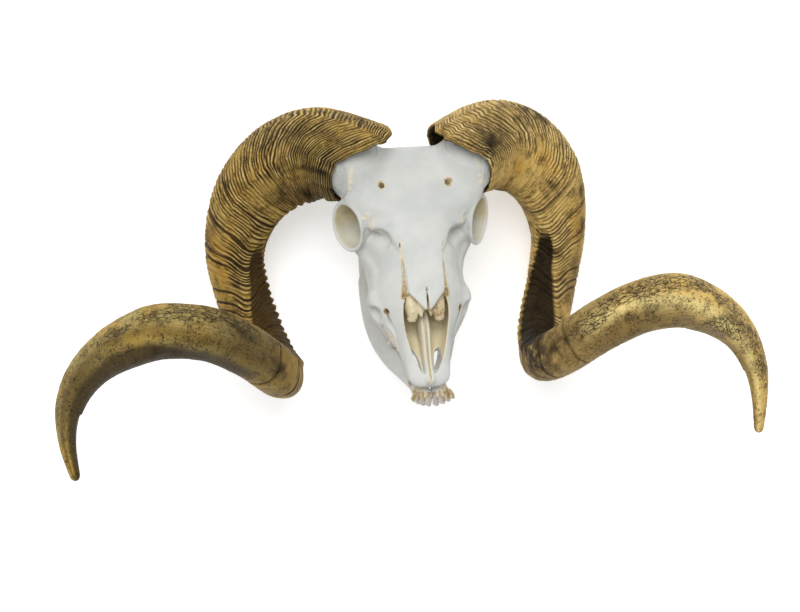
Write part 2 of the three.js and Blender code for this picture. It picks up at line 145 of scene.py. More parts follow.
class Clay:
    """A block of space sampled on a grid, holding the distance to the surface of what is in it."""

    def __init__(self, low, high, voxel):
        self.voxel = voxel
        self.axes = [
            np.arange(a, b + voxel, voxel, dtype=np.float32) for a, b in zip(low, high)
        ]
        self.field = np.full([len(axis) for axis in self.axes], FAR, np.float32)

    def _apply(self, shape, blend, sign):
        pieces = shape if isinstance(shape, list) else [shape]
        pad = WIDEN * blend + 5 * self.voxel
        windows = np.array([
            [np.searchsorted(axis, (low[n] - pad, high[n] + pad)) for n, axis in enumerate(self.axes)]
            for low, high, _ in pieces
        ])
        first, last = windows[:, :, 0].min(0), windows[:, :, 1].max(0)
        there = np.full(last - first, FAR, np.float32)
        for window, (_, _, distance) in zip(windows, pieces):
            near = tuple(slice(*(window[n] - first[n])) for n in range(3))
            places = np.ix_(*[axis[a:b] for axis, (a, b) in zip(self.axes, window)])
            there[near] = np.minimum(there[near], distance(*places))
        whole = tuple(slice(a, b) for a, b in zip(first, last))
        self.field[whole] = sign * lesser(sign * self.field[whole], there, blend)

    def add(self, shape, blend=0.0):
        self._apply(shape, blend, 1)

    def cut(self, shape, blend=0.0):
        self._apply(shape, blend, -1)

    def mirrored(self):
        """The same clay with its own mirror image on the other side of x = 0."""
        whole = Clay((0, 0, 0), (0, 0, 0), self.voxel)
        half = self.axes[0] >= 0
        right = self.axes[0][half]
        whole.axes = [np.concatenate([-right[:0:-1], right]), self.axes[1], self.axes[2]]
        field = self.field[half]
        whole.field = np.concatenate([field[:0:-1], field])
        return whole

    def sample(self, points):
        """The distance at points, from the grid around them."""
        at = [
            np.clip((points[:, i] - axis[0]) / self.voxel, 0, len(axis) - 1.001)
            for i, axis in enumerate(self.axes)
        ]
        cell = [a.astype(int) for a in at]
        part = [a - c for a, c in zip(at, cell)]
        total = 0
        for corner in range(8):
            steps = [corner >> n & 1 for n in range(3)]
            weight = np.prod([p if s else 1 - p for p, s in zip(part, steps)], axis=0)
            total = total + weight * self.field[tuple(c + s for c, s in zip(cell, steps))]
        return total

    def skin(self):
        """The surface as vertices and four-sided faces, one vertex for each cell that it crosses."""
        field = self.field
        inside = field < 0
        shape = [n - 1 for n in field.shape]
        count = np.zeros(shape, np.uint8)
        steps = [(corner & 1, corner >> 1 & 1, corner >> 2 & 1) for corner in range(8)]
        for a, b, c in steps:
            count += inside[a : a + shape[0], b : b + shape[1], c : c + shape[2]]
        cells = np.argwhere((count > 0) & (count < 8))
        number = np.full(shape, -1, np.int32)
        number[tuple(cells.T)] = np.arange(len(cells))
        corners = [field[tuple((cells + step).T)] for step in steps]
        total = np.zeros((len(cells), 3))
        crossings = np.zeros(len(cells))
        for a in range(8):
            for axis in range(3):
                b = a | 1 << axis
                if a == b:
                    continue
                low, high = corners[a], corners[b]
                mixed = (low < 0) != (high < 0)
                share = np.where(mixed, low / np.where(mixed, low - high, 1), 0)
                spot = np.array(steps[a], float) + share[:, None] * np.eye(3)[axis]
                total += spot * mixed[:, None]
                crossings += mixed
        origin = np.array([axis[0] for axis in self.axes])
        points = origin + (cells + total / crossings[:, None]) * self.voxel
        faces = []
        for axis in range(3):
            u, v = (axis + 1) % 3, (axis + 2) % 3
            start = [slice(1, -1)] * 3
            start[axis] = slice(0, -1)
            after = list(start)
            after[axis] = slice(1, None)
            edges = np.argwhere(inside[tuple(start)] != inside[tuple(after)])
            edges += [0 if n == axis else 1 for n in range(3)]
            ring = []
            for du, dv in ((1, 1), (0, 1), (0, 0), (1, 0)):
                cell = edges.copy()
                cell[:, u] -= du
                cell[:, v] -= dv
                ring.append(number[tuple(cell.T)])
            quads = np.stack(ring, 1)
            outward = inside[tuple(edges.T)]
            quads[~outward] = quads[~outward, ::-1]
            faces.append(quads)
        return points, np.concatenate(faces)


# A shape is the low and high corner of a box round it, and its distance function. A list of them is
# one shape too.


def measured(x, y, z, at, axes):
    """How far points lie from a place along each of some axes."""
    return [(x - at[0]) * a[0] + (y - at[1]) * a[1] + (z - at[2]) * a[2] for a in axes]


def oval(parts, radii):
    """The distance to an oval surface, from how far points lie along each of its radii."""
    size = np.sqrt(sum((part / r) ** 2 for part, r in zip(parts, radii)))
    slope = np.sqrt(sum((part / r**2) ** 2 for part, r in zip(parts, radii)))
    return size * (size - 1) / np.maximum(slope, 1e-6)


def reaching(at, reach, distance):
    """A shape that stays within reach of a place."""
    return [v - reach for v in at], [v + reach for v in at], distance


def ellipsoid(at, radii, along=(1, 0, 0)):
    """A rounded lump whose first radius points along a direction."""
    axes = axes_of(along)
    return reaching(at, max(radii), lambda x, y, z: oval(measured(x, y, z, at, axes), radii))


def link(a, b):
    """A piece of a bar between two rows of x, y, z, half thickness and half height."""
    a, b = np.asarray(a, float), np.asarray(b, float)
    step = b[:3] - a[:3]
    length = np.linalg.norm(step)
    along = step / length
    side = np.cross(along, (0, 0, 1))
    side = unit(side) if np.linalg.norm(side) > 1e-3 else np.array([1.0, 0, 0])
    axes = along, side, np.cross(side, along)
    reach = max(*a[3:], *b[3:])

    def distance(x, y, z):
        forward, sideways, upward = measured(x, y, z, a, axes)
        share = np.clip(forward / length, 0, 1)
        wide, tall = (a[n] + (b[n] - a[n]) * share for n in (3, 4))
        beyond = forward - share * length
        return oval((sideways, upward, beyond), (wide, tall, np.minimum(wide, tall)))

    return np.minimum(a[:3], b[:3]) - reach, np.maximum(a[:3], b[:3]) + reach, distance


def chain(rows):
    return [link(a, b) for a, b in zip(rows[:-1], rows[1:])]


def bar(*rows):
    """A smooth bar through rows of x, y, z, half thickness (sideways) and half height."""
    fine = smooth_rows(rows, (len(rows) - 1) * LINKS + 1)
    fine[:, 3:] = np.maximum(fine[:, 3:], THINNEST)
    return chain(fine)


def body(rows, ends=4.0):
    """A body along y: rows of y, top, bottom, half width, squareness and lean.

    A squareness of 2 is an ellipse, and a body that leans is narrower at the top.
    """
    fine = smooth_rows(rows, 600)
    front, back = fine[0, 0], fine[-1, 0]
    wide, tall, deep = fine[:, 3].max() * 1.4, fine[:, 1].max(), fine[:, 2].min()

    def distance(x, y, z):
        top, bottom, half, square, lean = (
            np.interp(y, fine[:, 0], fine[:, c]).astype(np.float32) for c in range(1, 6)
        )
        tall_half = (top - bottom) / 2
        up = (z - (top + bottom) / 2) / tall_half
        width = half * (1 - lean * np.clip(up, -1.2, 1.2))
        across, up = np.abs(x) / width, np.abs(up)
        size = (across**square + up**square) ** (1 / square)
        safe = np.maximum(size, 0.05)
        slope = np.sqrt(
            ((across / safe) ** (square - 1) / width) ** 2
            + ((up / safe) ** (square - 1) / tall_half) ** 2
        )
        section = (size - 1) / np.maximum(slope, 1e-4)
        return -lesser(-section, -np.maximum(front - y, y - back), ends)

    return [-wide, front, deep], [wide, back, tall], distance


def plate(outline, x, lean, thickness):
    """A plate across x with rounded edges, from the y and z of its outline."""
    points = smooth_rows(outline + [outline[0]], len(outline) * 5)[:-1]
    low, high = points.min(0), points.max(0)
    edge = thickness * 0.45

    def distance(xs, ys, zs):
        y, z = np.meshgrid(ys.ravel(), zs.ravel(), indexing="ij")
        nearest = np.full(y.shape, FAR)
        within = np.zeros(y.shape, bool)
        for a, b in zip(points, np.roll(points, -1, 0)):
            step = b - a
            share = np.clip(((y - a[0]) * step[0] + (z - a[1]) * step[1]) / (step @ step), 0, 1)
            gap = np.hypot(y - a[0] - share * step[0], z - a[1] - share * step[1])
            nearest = np.minimum(nearest, gap)
            spans = (a[1] > z) != (b[1] > z)
            if step[1]:
                within ^= spans & (y < a[0] + step[0] * (z - a[1]) / step[1])
        flat = np.where(within, -nearest, nearest)[None].astype(np.float32) + edge
        through = np.abs(xs - x - lean * zs) - thickness / 2 + edge
        outer = np.hypot(np.maximum(flat, 0), np.maximum(through, 0))
        return outer + np.minimum(np.maximum(flat, through), 0) - edge

    wide = thickness + abs(lean) * 70
    return [x - wide, low[0], low[1]], [x + wide, high[0], high[1]], distance


def ring(at, axes, radii, thick):
    """A rim round an opening, with its radii along its second and third axes."""

    def distance(x, y, z):
        out, *across = measured(x, y, z, at, axes)
        return np.hypot(out, oval(across, radii)) - thick

    return reaching(at, max(radii) + thick, distance)


def cone(at, axes, start, radii, length):
    """A cup that widens from a start radius to an oval rim, against the first axis."""

    def distance(x, y, z):
        out, side, up = measured(x, y, z, at, axes)
        share = np.clip(-out / length, 0, 1)
        wide, tall = (radius + (start - radius) * share for radius in radii)
        size = np.sqrt((side / wide) ** 2 + (up / tall) ** 2)
        around = (size - 1) * np.minimum(wide, tall)
        return -lesser(-around, -np.maximum(out, -length - out), 2.0)

    return reaching(at, max(*radii, length), distance)


def column(x, y, ends, long, wide):
    """An upright lobe between two heights, with half its length along y and half its width."""
    low, high = ends
    reach = max(long, wide)

    def distance(xs, ys, zs):
        around = oval((xs - x, ys - y), (wide, long))
        return -lesser(-around, -np.maximum(low - zs, zs - high), 1.2)

    return [x - reach, y - reach, low], [x + reach, y + reach, high], distance


# ---- Meshes ----------------------------------------------------------------------------------


def normals_of(points, faces):
    """Unit normals at the points of a mesh."""
    a, b, c, d = (points[faces[:, n]] for n in range(4))
    across = np.cross(c - a, d - b)
    total = np.zeros_like(points)
    for n in range(4):
        for axis in range(3):
            total[:, axis] += np.bincount(faces[:, n], across[:, axis], len(points))
    return total / np.maximum(np.linalg.norm(total, axis=1), 1e-12)[:, None]


def biggest(points, faces):
    """The mesh without its loose crumbs."""
    label = np.arange(len(points))
    while True:
        least = label[faces].min(1)
        new = label.copy()
        for n in range(4):
            np.minimum.at(new, faces[:, n], least)
        new = new[new]
        if np.array_equal(new, label):
            break
        label = new
    sizes = np.bincount(label)
    keep = label == sizes.argmax()
    renumber = np.cumsum(keep) - 1
    return points[keep], renumber[faces[keep[faces[:, 0]]]]


def mesh_piece(name, points, faces, masks, material, uv=None):
    """A smooth-shaded object from points of the skull's frame, with named vertex masks."""
    mesh = bpy.data.meshes.new(name)
    placed = to_frame(points).astype(np.float32)
    mesh.vertices.add(len(placed))
    mesh.vertices.foreach_set("co", placed.ravel())
    mesh.loops.add(faces.size)
    mesh.loops.foreach_set("vertex_index", faces.astype(np.int32).ravel())
    mesh.polygons.add(len(faces))
    mesh.polygons.foreach_set("loop_start", np.arange(0, faces.size, 4, dtype=np.int32))
    for key, values in {"own": points, **masks}.items():
        kind = "FLOAT_VECTOR" if values.ndim == 2 else "FLOAT"
        layer = mesh.attributes.new(key, kind, "POINT")
        field = "vector" if values.ndim == 2 else "value"
        layer.data.foreach_set(field, values.astype(np.float32).ravel())
    if uv is not None:
        layer = mesh.uv_layers.new(name="OFBake")
        layer.uv.foreach_set("vector", uv.astype(np.float32).ravel())
    mesh.update(calc_edges=True)
    mesh.polygons.foreach_set("use_smooth", np.ones(len(faces), bool))
    mesh.validate()
    piece = bpy.data.objects.new(name, mesh)
    bpy.context.scene.collection.objects.link(piece)
    mesh.materials.append(material)
    return piece


# ---- Materials -------------------------------------------------------------------------------


class Shader:
    """A material's nodes, built by short calls. Inputs are numbers, colours or other outputs."""

    def __init__(self, name, specular=0.5):
        self.material = bpy.data.materials.new(name)
        self.material.use_nodes = True
        self.tree = self.material.node_tree
        self.surface = self.tree.nodes["Principled BSDF"]
        self.surface.inputs["Specular IOR Level"].default_value = specular

    def node(self, kind, inputs, **settings):
        made = self.tree.nodes.new(kind)
        for key, value in settings.items():
            setattr(made, key, value)
        for key, value in inputs.items():
            self.feed(made.inputs[key], value)
        return made

    def feed(self, socket, value):
        if isinstance(value, bpy.types.NodeSocket):
            self.tree.links.new(value, socket)
        elif isinstance(value, tuple) and len(socket.default_value) == 4:
            socket.default_value = (*value, 1)
        else:
            socket.default_value = value

    def mask(self, name):
        return self.node("ShaderNodeAttribute", {}, attribute_name=name).outputs["Fac"]

    def place(self, name="own", scale=(1, 1, 1)):
        read = self.node("ShaderNodeAttribute", {}, attribute_name=name).outputs["Vector"]
        return self.node("ShaderNodeMapping", {"Vector": read, "Scale": scale}).outputs[0]

    def noise(self, vector, scale, detail=3.0, roughness=0.55):
        inputs = {"Vector": vector, "Scale": scale, "Detail": detail, "Roughness": roughness}
        return self.node("ShaderNodeTexNoise", inputs).outputs["Fac"]

    def lay(self, across, along, detail, roughness):
        """Noise by the horn's ridges: how fine it is from one to the next, and along each."""
        return self.noise(self.place("lay", (across, along, 0)), 1.0, detail, roughness)

    def cells(self, vector, scale, feature="F1"):
        inputs = {"Vector": vector, "Scale": scale}
        return self.node("ShaderNodeTexVoronoi", inputs, feature=feature).outputs["Distance"]

    def range(self, value, low, high, to_low=0.0, to_high=1.0):
        keys = ("Value", "From Min", "From Max", "To Min", "To Max")
        inputs = dict(zip(keys, (value, low, high, to_low, to_high)))
        return self.node("ShaderNodeMapRange", inputs, interpolation_type="SMOOTHSTEP").outputs[0]

    def join(self, operation, values):
        total = values[0]
        for value in values[1:]:
            inputs = {0: total, 1: value}
            total = self.node("ShaderNodeMath", inputs, operation=operation).outputs[0]
        return total

    def times(self, *values):
        return self.join("MULTIPLY", values)

    def plus(self, *values):
        return self.join("ADD", values)

    def most(self, *values):
        return self.join("MAXIMUM", values)

    def mix(self, a, b, *shares):
        """Colour a turning to colour b by the product of some shares."""
        made = self.node("ShaderNodeMix", {}, data_type="RGBA")
        self.feed(made.inputs["Factor"], self.times(*shares))
        self.feed(made.inputs[6], a)
        self.feed(made.inputs[7], b)
        return made.outputs[2]

    def finish(self, colour, roughness, height, depth):
        """Sets the surface's colour and roughness, and bumps it by a height of depth metres."""
        self.feed(self.surface.inputs["Base Color"], colour)
        self.feed(self.surface.inputs["Roughness"], roughness)
        bump = self.node("ShaderNodeBump", {"Height": height, "Distance": depth, "Strength": 1.0})
        self.feed(self.surface.inputs["Normal"], bump.outputs[0])
        return self.material


BLEACHED = (0.64, 0.645, 0.615)
SHADY_BONE = (0.555, 0.57, 0.55)
GRAINY_BONE = (0.62, 0.61, 0.55)
SPECKED_BONE = (0.45, 0.42, 0.34)
GREY_FLUTE = (0.42, 0.41, 0.36)
IVORY = (0.84, 0.74, 0.49)
TAN = (0.56, 0.47, 0.22)
OLIVE = (0.34, 0.28, 0.12)
STAIN_AND_SHADE = (0.52, 0.34, 0.12)
DARK_STAIN_AND_SHADE = (0.27, 0.155, 0.05)
ENAMEL = (0.60, 0.55, 0.52)
GREY_ENAMEL = (0.40, 0.35, 0.33)
YELLOW_ENAMEL = (0.68, 0.64, 0.50)
GUM_STAIN = (0.40, 0.27, 0.08)
GROOVE_SHADE = (0.020, 0.010, 0.004)
SPOT_BLACK = (0.014, 0.008, 0.004)
CRACK_BLACK = (0.030, 0.018, 0.009)


def bone_material():
    """Bleached bone: nearly white, with pores, fibres, ivory patches, tan orbits and brown stain; in the
    nose and the orbits the brown and the tan are partly painted shade.
    """
    s = Shader("bleached_bone", specular=0.35)
    place = s.place()
    cloud = s.noise(place, 0.035, 4)
    grain = s.noise(place, 0.9, 4, 0.6)
    pores = s.range(s.cells(place, 0.55), 0.05, 0.22)
    specks = s.range(s.noise(place, 1.6, 3, 0.7), 0.66, 0.72)
    spots = s.range(s.noise(place, 0.45, 5, 0.65), 0.42, 0.62)
    fibres = s.noise(s.place(scale=(0.5, 0.14, 0.14)), 1.0, 5, 0.7)
    collar = s.mask("collar")

    colour = s.mix(BLEACHED, SHADY_BONE, s.range(cloud, 0.35, 0.7))
    colour = s.mix(colour, GRAINY_BONE, s.range(grain, 0.45, 0.75), 0.25)
    colour = s.mix(colour, SPECKED_BONE, specks, 0.35)
    colour = s.mix(colour, IVORY, s.mask("ivory"), s.range(spots, 0, 1, 0.8, 1.0))
    colour = s.mix(colour, s.mix(TAN, OLIVE, s.range(cloud, 0.4, 0.62)), s.mask("tan_and_shade"))
    # Brown stain, which in the nose also serves as painted shade, in recesses and on one side of the
    # scrolls.
    dirt = s.mix(STAIN_AND_SHADE, DARK_STAIN_AND_SHADE, spots)
    colour = s.mix(colour, dirt, s.mask("stain"), s.range(spots, 0, 1, 0.6, 1.0))
    colour = s.mix(colour, GREY_FLUTE, collar, s.range(fibres, 0.48, 0.66), 0.3)

    pitted = s.times(s.mask("porous"), s.noise(place, 0.35, 5, 0.7), 3.0)
    height = s.plus(s.times(grain, 0.5), s.times(pores, 0.3), s.times(collar, fibres, 6.0), pitted)
    return s.finish(colour, s.range(grain, 0.3, 0.7, 0.42, 0.62), height, 0.0004)


def tooth_material():
    """Old enamel: pinkish grey faces, ivory edges and brown at the gum line."""
    s = Shader("old_enamel")
    place = s.place()
    streaks = s.noise(s.place(scale=(1, 1, 0.25)), 0.8, 4)
    colour = s.mix(ENAMEL, GREY_ENAMEL, s.range(streaks, 0.35, 0.7))
    colour = s.mix(colour, YELLOW_ENAMEL, s.range(s.noise(place, 0.25, 3), 0.5, 0.65))
    dirt = s.range(s.noise(place, 0.5, 4), 0.36, 0.56)
    colour = s.mix(colour, GUM_STAIN, s.mask("stain"), dirt)
    return s.finish(colour, 0.32, streaks, 0.0003)


def horn_material(word, tone):
    """Horn: crests brightened as painted highlight and grooves darkened as painted shade on brown and ochre,
    then paler, streaked and cracked; the inner face, the lining and the last arc's underside take painted
    shade.
    """
    s = Shader(f"ram_horn_{word}", specular=0.16)
    place = s.place()
    streaks = s.lay(0.8, 0.03, 5, 0.6)
    threads = s.lay(2.6, 0.10, 4, 0.7)
    fibres = s.lay(0.05, 0.7, 5, 0.62)
    flecks = s.lay(0.30, 0.75, 5, 0.75)
    cloud = s.noise(place, 0.028, 4, 0.6)
    blotch = s.noise(place, 0.09, 6, 0.7)
    dots = s.noise(place, 0.55, 4, 0.75)
    umber, cracked = s.mask("umber"), s.mask("cracked")
    spots = s.times(s.mask("dark"), s.range(blotch, 0.30, 0.55))

    ringed = s.mix(tone["brown"], tone["ochre"], s.range(cloud, 0.40, 0.60))
    ringed = s.mix(ringed, tone["orange"], s.mask("orange"))
    ringed = s.mix(ringed, tone["straw"], s.range(streaks, 0.52, 0.68), 0.7)
    ringed = s.mix(ringed, tone["thread"], s.range(threads, 0.48, 0.66), 0.8)
    ringed = s.mix(ringed, tone["umber"], s.range(blotch, 0.50, 0.64), 0.7)
    ringed = s.mix(ringed, tone["umber"], umber, 0.7)
    # Painted highlight on the crests of the growth ridges.
    ringed = s.mix(ringed, tone["crest"], s.mask("crest"), s.range(blotch, 0.35, 0.6, 1.0, 0.35))
    # Painted shade in the grooves between ridges and in the deep yearly rings.
    groove = s.range(s.mask("groove"), 0.05, 0.7)
    ringed = s.mix(ringed, GROOVE_SHADE, groove, tone["groove_shade_share"])
    ringed = s.mix(ringed, SPOT_BLACK, spots, 0.9)

    scribble = s.cells(s.place("lay", (0.12, 0.26, 0)), 1.0, "DISTANCE_TO_EDGE")
    ragged = s.plus(scribble, s.times(dots, -0.30))
    cracks = s.most(s.range(ragged, -0.14, -0.05, 0.9, 0.0), s.range(flecks, 0.53, 0.60))
    cracks = s.times(cracks, s.range(s.plus(cracked, blotch), 0.62, 1.0))
    patchy = s.times(cracked, s.range(blotch, 0.46, 0.60, 0.0, 0.6), 0.8)
    specks = s.times(s.range(dots, 0.55, 0.62), s.range(blotch, 0.38, 0.55))
    marks = s.most(cracks, specks, patchy)
    # Painted shade on the underside of the last arc, streaked with umber.
    lower = s.mix(tone["under"], tone["umber"], s.range(fibres, 0.38, 0.62))
    pale = s.mix(tone["cream"], tone["cream_shade"], s.range(fibres, 0.35, 0.70))
    pale = s.mix(pale, tone["ochre"], s.range(cloud, 0.42, 0.60), 0.8)
    # Along the last arc's ridge: a painted highlight on the left horn, a darker ochre line on the right
    # horn.
    pale = s.mix(pale, tone["band"], s.mask("band"), 0.85)
    pale = s.mix(pale, lower, s.mask("under"), tone["underside_shade_share"])
    pale = s.mix(pale, tone["umber"], s.range(blotch, 0.48, 0.66), 0.6)
    pale = s.mix(pale, tone["under"], umber, 0.75)
    pale = s.mix(pale, CRACK_BLACK, s.most(marks, s.times(spots, 0.7)))

    # Painted shade on the hollow inner face and on the lining inside the sheath.
    inner = s.mix(tone["inner_shade_dark"], tone["inner"], s.range(streaks, 0.35, 0.68))
    inner = s.mix(inner, tone["inner_crest"], s.mask("crest"), 0.6)
    colour = s.mix(s.mix(ringed, pale, s.mask("pale")), inner, s.mask("shaded"), 0.95)
    height = s.plus(s.times(threads, 1.1), s.times(streaks, 0.8), s.times(marks, -0.8))
    return s.finish(colour, s.range(threads, 0.3, 0.7, 0.45, 0.65), height, 0.0008)


# ---- Cranium ---------------------------------------------------------------------------------

VOXEL = 1.0

BRAINCASE = body([
    [-3, 4, -3, 11, 2.2, 0],
    [4, 9, -4, 18.5, 2.4, 0],
    [20, 20, -3, 21.3, 2.8, 0.04],
    [35, 32, -2, 25, 2.8, 0.1],
    [48, 45, -1, 31, 2.8, 0.18],
    [60, 58, 0, 36.5, 2.8, 0.3],
    [76, 67, 1, 42, 2.8, 0.36],
    [98, 78, 4, 40.5, 2.8, 0.34],
    [114, 84, 12, 42.5, 2.8, 0.34],
    [124, 86, 20, 46.5, 2.6, 0.3],
    [134, 89, 24, 44, 2.4, 0.15],
    [148, 94, 25, 31, 2.2, 0],
    [166, 100, 30, 32, 2.1, 0],
    [184, 103, 31, 33, 2.1, 0],
    [200, 96, 32, 29, 2.1, 0],
    [213, 78, 33, 29, 2.2, 0],
    [224, 67, 36, 26, 2.2, 0],
    [229, 62, 40, 18, 2.2, 0],
])
# The frontal bones, a broad shield that overhangs both orbits.
BROW = body([
    [86, 74, 66, 12, 2.4, 0],
    [97, 80, 66, 20, 2.5, 0],
    [106, 85, 66, 24.5, 2.7, 0.05],
    [113, 88, 66, 28, 2.6, 0.15],
    [119, 90, 66, 33, 2.4, 0.28],
    [123, 91, 66, 39, 2.4, 0.34],
    [129, 93, 67, 43, 2.5, 0.28],
    [138, 95.5, 71, 54, 2.8, 0.1],
    [150, 99, 76, 62, 2.8, 0],
    [160, 101, 77, 61, 2.6, 0],
    [172, 104, 76, 54, 2.4, 0],
    [184, 106, 75, 48, 2.4, 0],
    [194, 106, 75, 42, 2.4, 0],
    [202, 99, 76, 32, 2.2, 0],
])
NOSE_CAVITY = body([
    [3, 24, 5, 4.5, 2.2, 0],
    [9, 34, 4, 9.5, 2.4, 0],
    [20, 46, 4, 14.5, 2.6, 0],
    [36, 64, 4, 18.6, 2.8, 0],
    [50, 70, 5, 21, 2.8, 0.1],
    [60, 66, 6, 22, 2.8, 0.2],
    [66, 58, 8, 22, 2.6, 0.2],
    [80, 62, 10, 20, 2.6, 0.2],
    [98, 60, 16, 14, 2.2, 0],
])
NASAL_BONES = body(ends=2, rows=[
    [44.5, 55, 51.6, 3.4, 2.4, 0],
    [50, 58, 54, 8, 2.4, 0],
    [56, 61, 56.5, 13.5, 2.4, 0],
    [60, 63, 58, 16.6, 2.4, 0],
    [66, 66, 61, 17.4, 2.4, 0],
    [80, 72, 64, 18, 2.5, 0],
    [100, 81, 68, 19, 2.5, 0],
    [112, 86.5, 70, 17, 2.4, 0],
])
NASAL_SPLIT = bar([0, 40, 60, 1.1, 20], [0, 62, 60, 0.4, 20])
NASAL_GAP = bar([19.8, 103, 79, 0.25, 7], [19, 84, 72, 0.6, 8], [19.4, 70, 66, 1.5, 7], [20, 58, 56, 2.4, 8])
NOSE_BAR = bar([1.8, 0, 5, 2.8, 4], [1.9, 20, 8, 2.6, 6], [2.1, 34, 14, 2.9, 8], [2.3, 50, 19, 3.3, 11],
               [2.4, 74, 20, 3.2, 12])
NOSE_GROOVE = bar([0, -2, 8, 0.4, 3.5], [0, 20, 14, 0.4, 4.5], [0, 34, 22, 0.5, 4], [0, 48, 30, 0.6, 4])
SEPTUM = bar([0, 62, 34, 1.2, 22], [0, 96, 36, 1.2, 24])
SCROLL = ellipsoid((12.3, 58, 42), (14, 6.4, 8), (0, 0.79, 0.62))
SCROLL_CURL = ellipsoid((12.8, 48.5, 36), (4.6, 3.6, 3.6))
SCROLL_MIDDLE = ellipsoid((4.6, 55, 45), (10, 3, 3.6), (0, 0.79, 0.62))

EYE = np.array((61.5, 137.5, 65))
EYE_FACES, EYE_LENGTHWISE = (0.80, -0.50, 0.33), (0.22, 0.67, 0.71)
LACRIMAL_PIT = bar([45, 80, 74, 12, 12], [49, 98, 80, 20, 20], [50, 112, 82, 24.5, 24.5],
                   [50, 122, 82, 24, 24])
LACRIMAL_HOOK = bar([22, 112, 67, 2.2, 3], [27, 122, 68.5, 2.8, 3], [35, 130, 69, 3.2, 3.2],
                    [43, 132, 67, 3.2, 3.4], [50, 127, 61, 3, 4])
LACRIMAL_CUP = ellipsoid((39, 115, 71), (14, 9.5, 10), (1, 0.2, 0))
LACRIMAL_LUMP = bar([40, 128, 74, 3, 4], [46, 134, 80, 2, 3])
BROW_HOLE = ellipsoid((31, 155, 100), (15, 2.3, 3.0), (0.2, -0.3, 1))
COLLAR_LINE = bar([44, 184, 112, 0.8, 9], [50, 175, 110, 0.8, 9], [54, 169, 106, 0.8, 9],
                  [58, 162, 101, 0.8, 9], [60, 156, 96, 0.8, 9])
COLLAR_BAND = bar([52, 190, 112, 6, 16], [58, 182, 110, 6, 16], [62, 175, 106, 6, 16],
                  [66, 167, 100, 6, 16], [69, 158, 94, 6, 16])

TUBER = ellipsoid((41.5, 77, 28), (6.5, 11, 7))
TUBER_HOLLOW = ellipsoid((44, 64, 24), (6, 9, 8))
CHEEK_HOLE = ellipsoid((30.4, 63.5, 32), (9, 3.4, 3), (1, -1, 0.4))
CHEEK_GROOVE = bar([31.5, 60, 31, 2.4, 2.4], [29.5, 51, 26, 2.2, 2.2], [27, 42, 21, 1, 1])
CHEEK_ARCH = bar([38, 78, 28, 5, 6], [38, 100, 37, 4, 7], [43, 117, 41, 4, 6], [56, 137, 43, 4, 6],
                 [62, 156, 46, 3.5, 6], [61, 174, 51, 3.5, 5], [46, 190, 56, 6, 6])
CRUMBS = bar([33, 56, 16, 3, 5], [31, 46, 12, 4, 6], [27, 38, 8, 3, 4])
PALATE_SLIT = ellipsoid((10.5, 23, 0), (14.5, 3.8, 14), (0.12, 1, 0))
PALATE_VAULT = ellipsoid((0, 84, -10), (20, 50, 12))
PALATE_WING = bar([16, 118, 20, 2, 14], [17, 138, 22, 2, 13], [16, 154, 28, 2.6, 8])
THROAT = ellipsoid((0, 134, 14), (12, 22, 12))
EAR_CAPSULE = ellipsoid((18, 194, 29), (8.5, 12, 11))
EAR_TUBE = bar([33, 189, 53, 6, 6], [51, 192, 55, 5, 5])
EAR_SPUR = bar([26, 208, 46, 6, 9], [29, 212, 30, 4, 6], [29, 213, 12, 2, 3])
NECK_KNUCKLE = ellipsoid((17, 227, 44), (9, 9, 12))
NECK_HOLE = ellipsoid((0, 230, 57), (22, 10.5, 10.5), (0, 1, 0.15))
NAPE_RIDGE = ellipsoid((0, 215, 71), (27, 7, 7))


def oval_axes(faces, lengthwise):
    """Unit axes of an oval opening: out of it, along its longer axis and across it."""
    out = unit(faces)
    along = unit(np.array(lengthwise) - out * np.dot(lengthwise, out))
    return np.array([out, along, np.cross(out, along)])


EYE_AXES = oval_axes(EYE_FACES, EYE_LENGTHWISE)
EYE_RIM = (22.5, 17.5)
EYE_CUP = cone(EYE, EYE_AXES, 14, EYE_RIM, 28)
EYE_RING = ring(EYE, EYE_AXES, EYE_RIM, 1.3)
EYE_SOCKET = ellipsoid(EYE + 4 * EYE_AXES[0], (27, 20, 15.5), EYE_AXES)


def horn_core():
    """The bone core of the animal's left horn, as a chain of round links inside the sheath."""
    rows = []
    for t in np.linspace(0, 1, 7):
        row = HORN_PATH.at_share(CORE["start"] + (CORE["end"] - CORE["start"]) * t)
        radius = row["radius"] * (CORE["root"] + (CORE["tip"] - CORE["root"]) * t)
        moved = row["inner"] * CORE["forward"] + row["across"] * CORE["aside"]
        rows.append([*(row["at"] + moved * (1 - t)), radius, radius])
    return chain(rows)


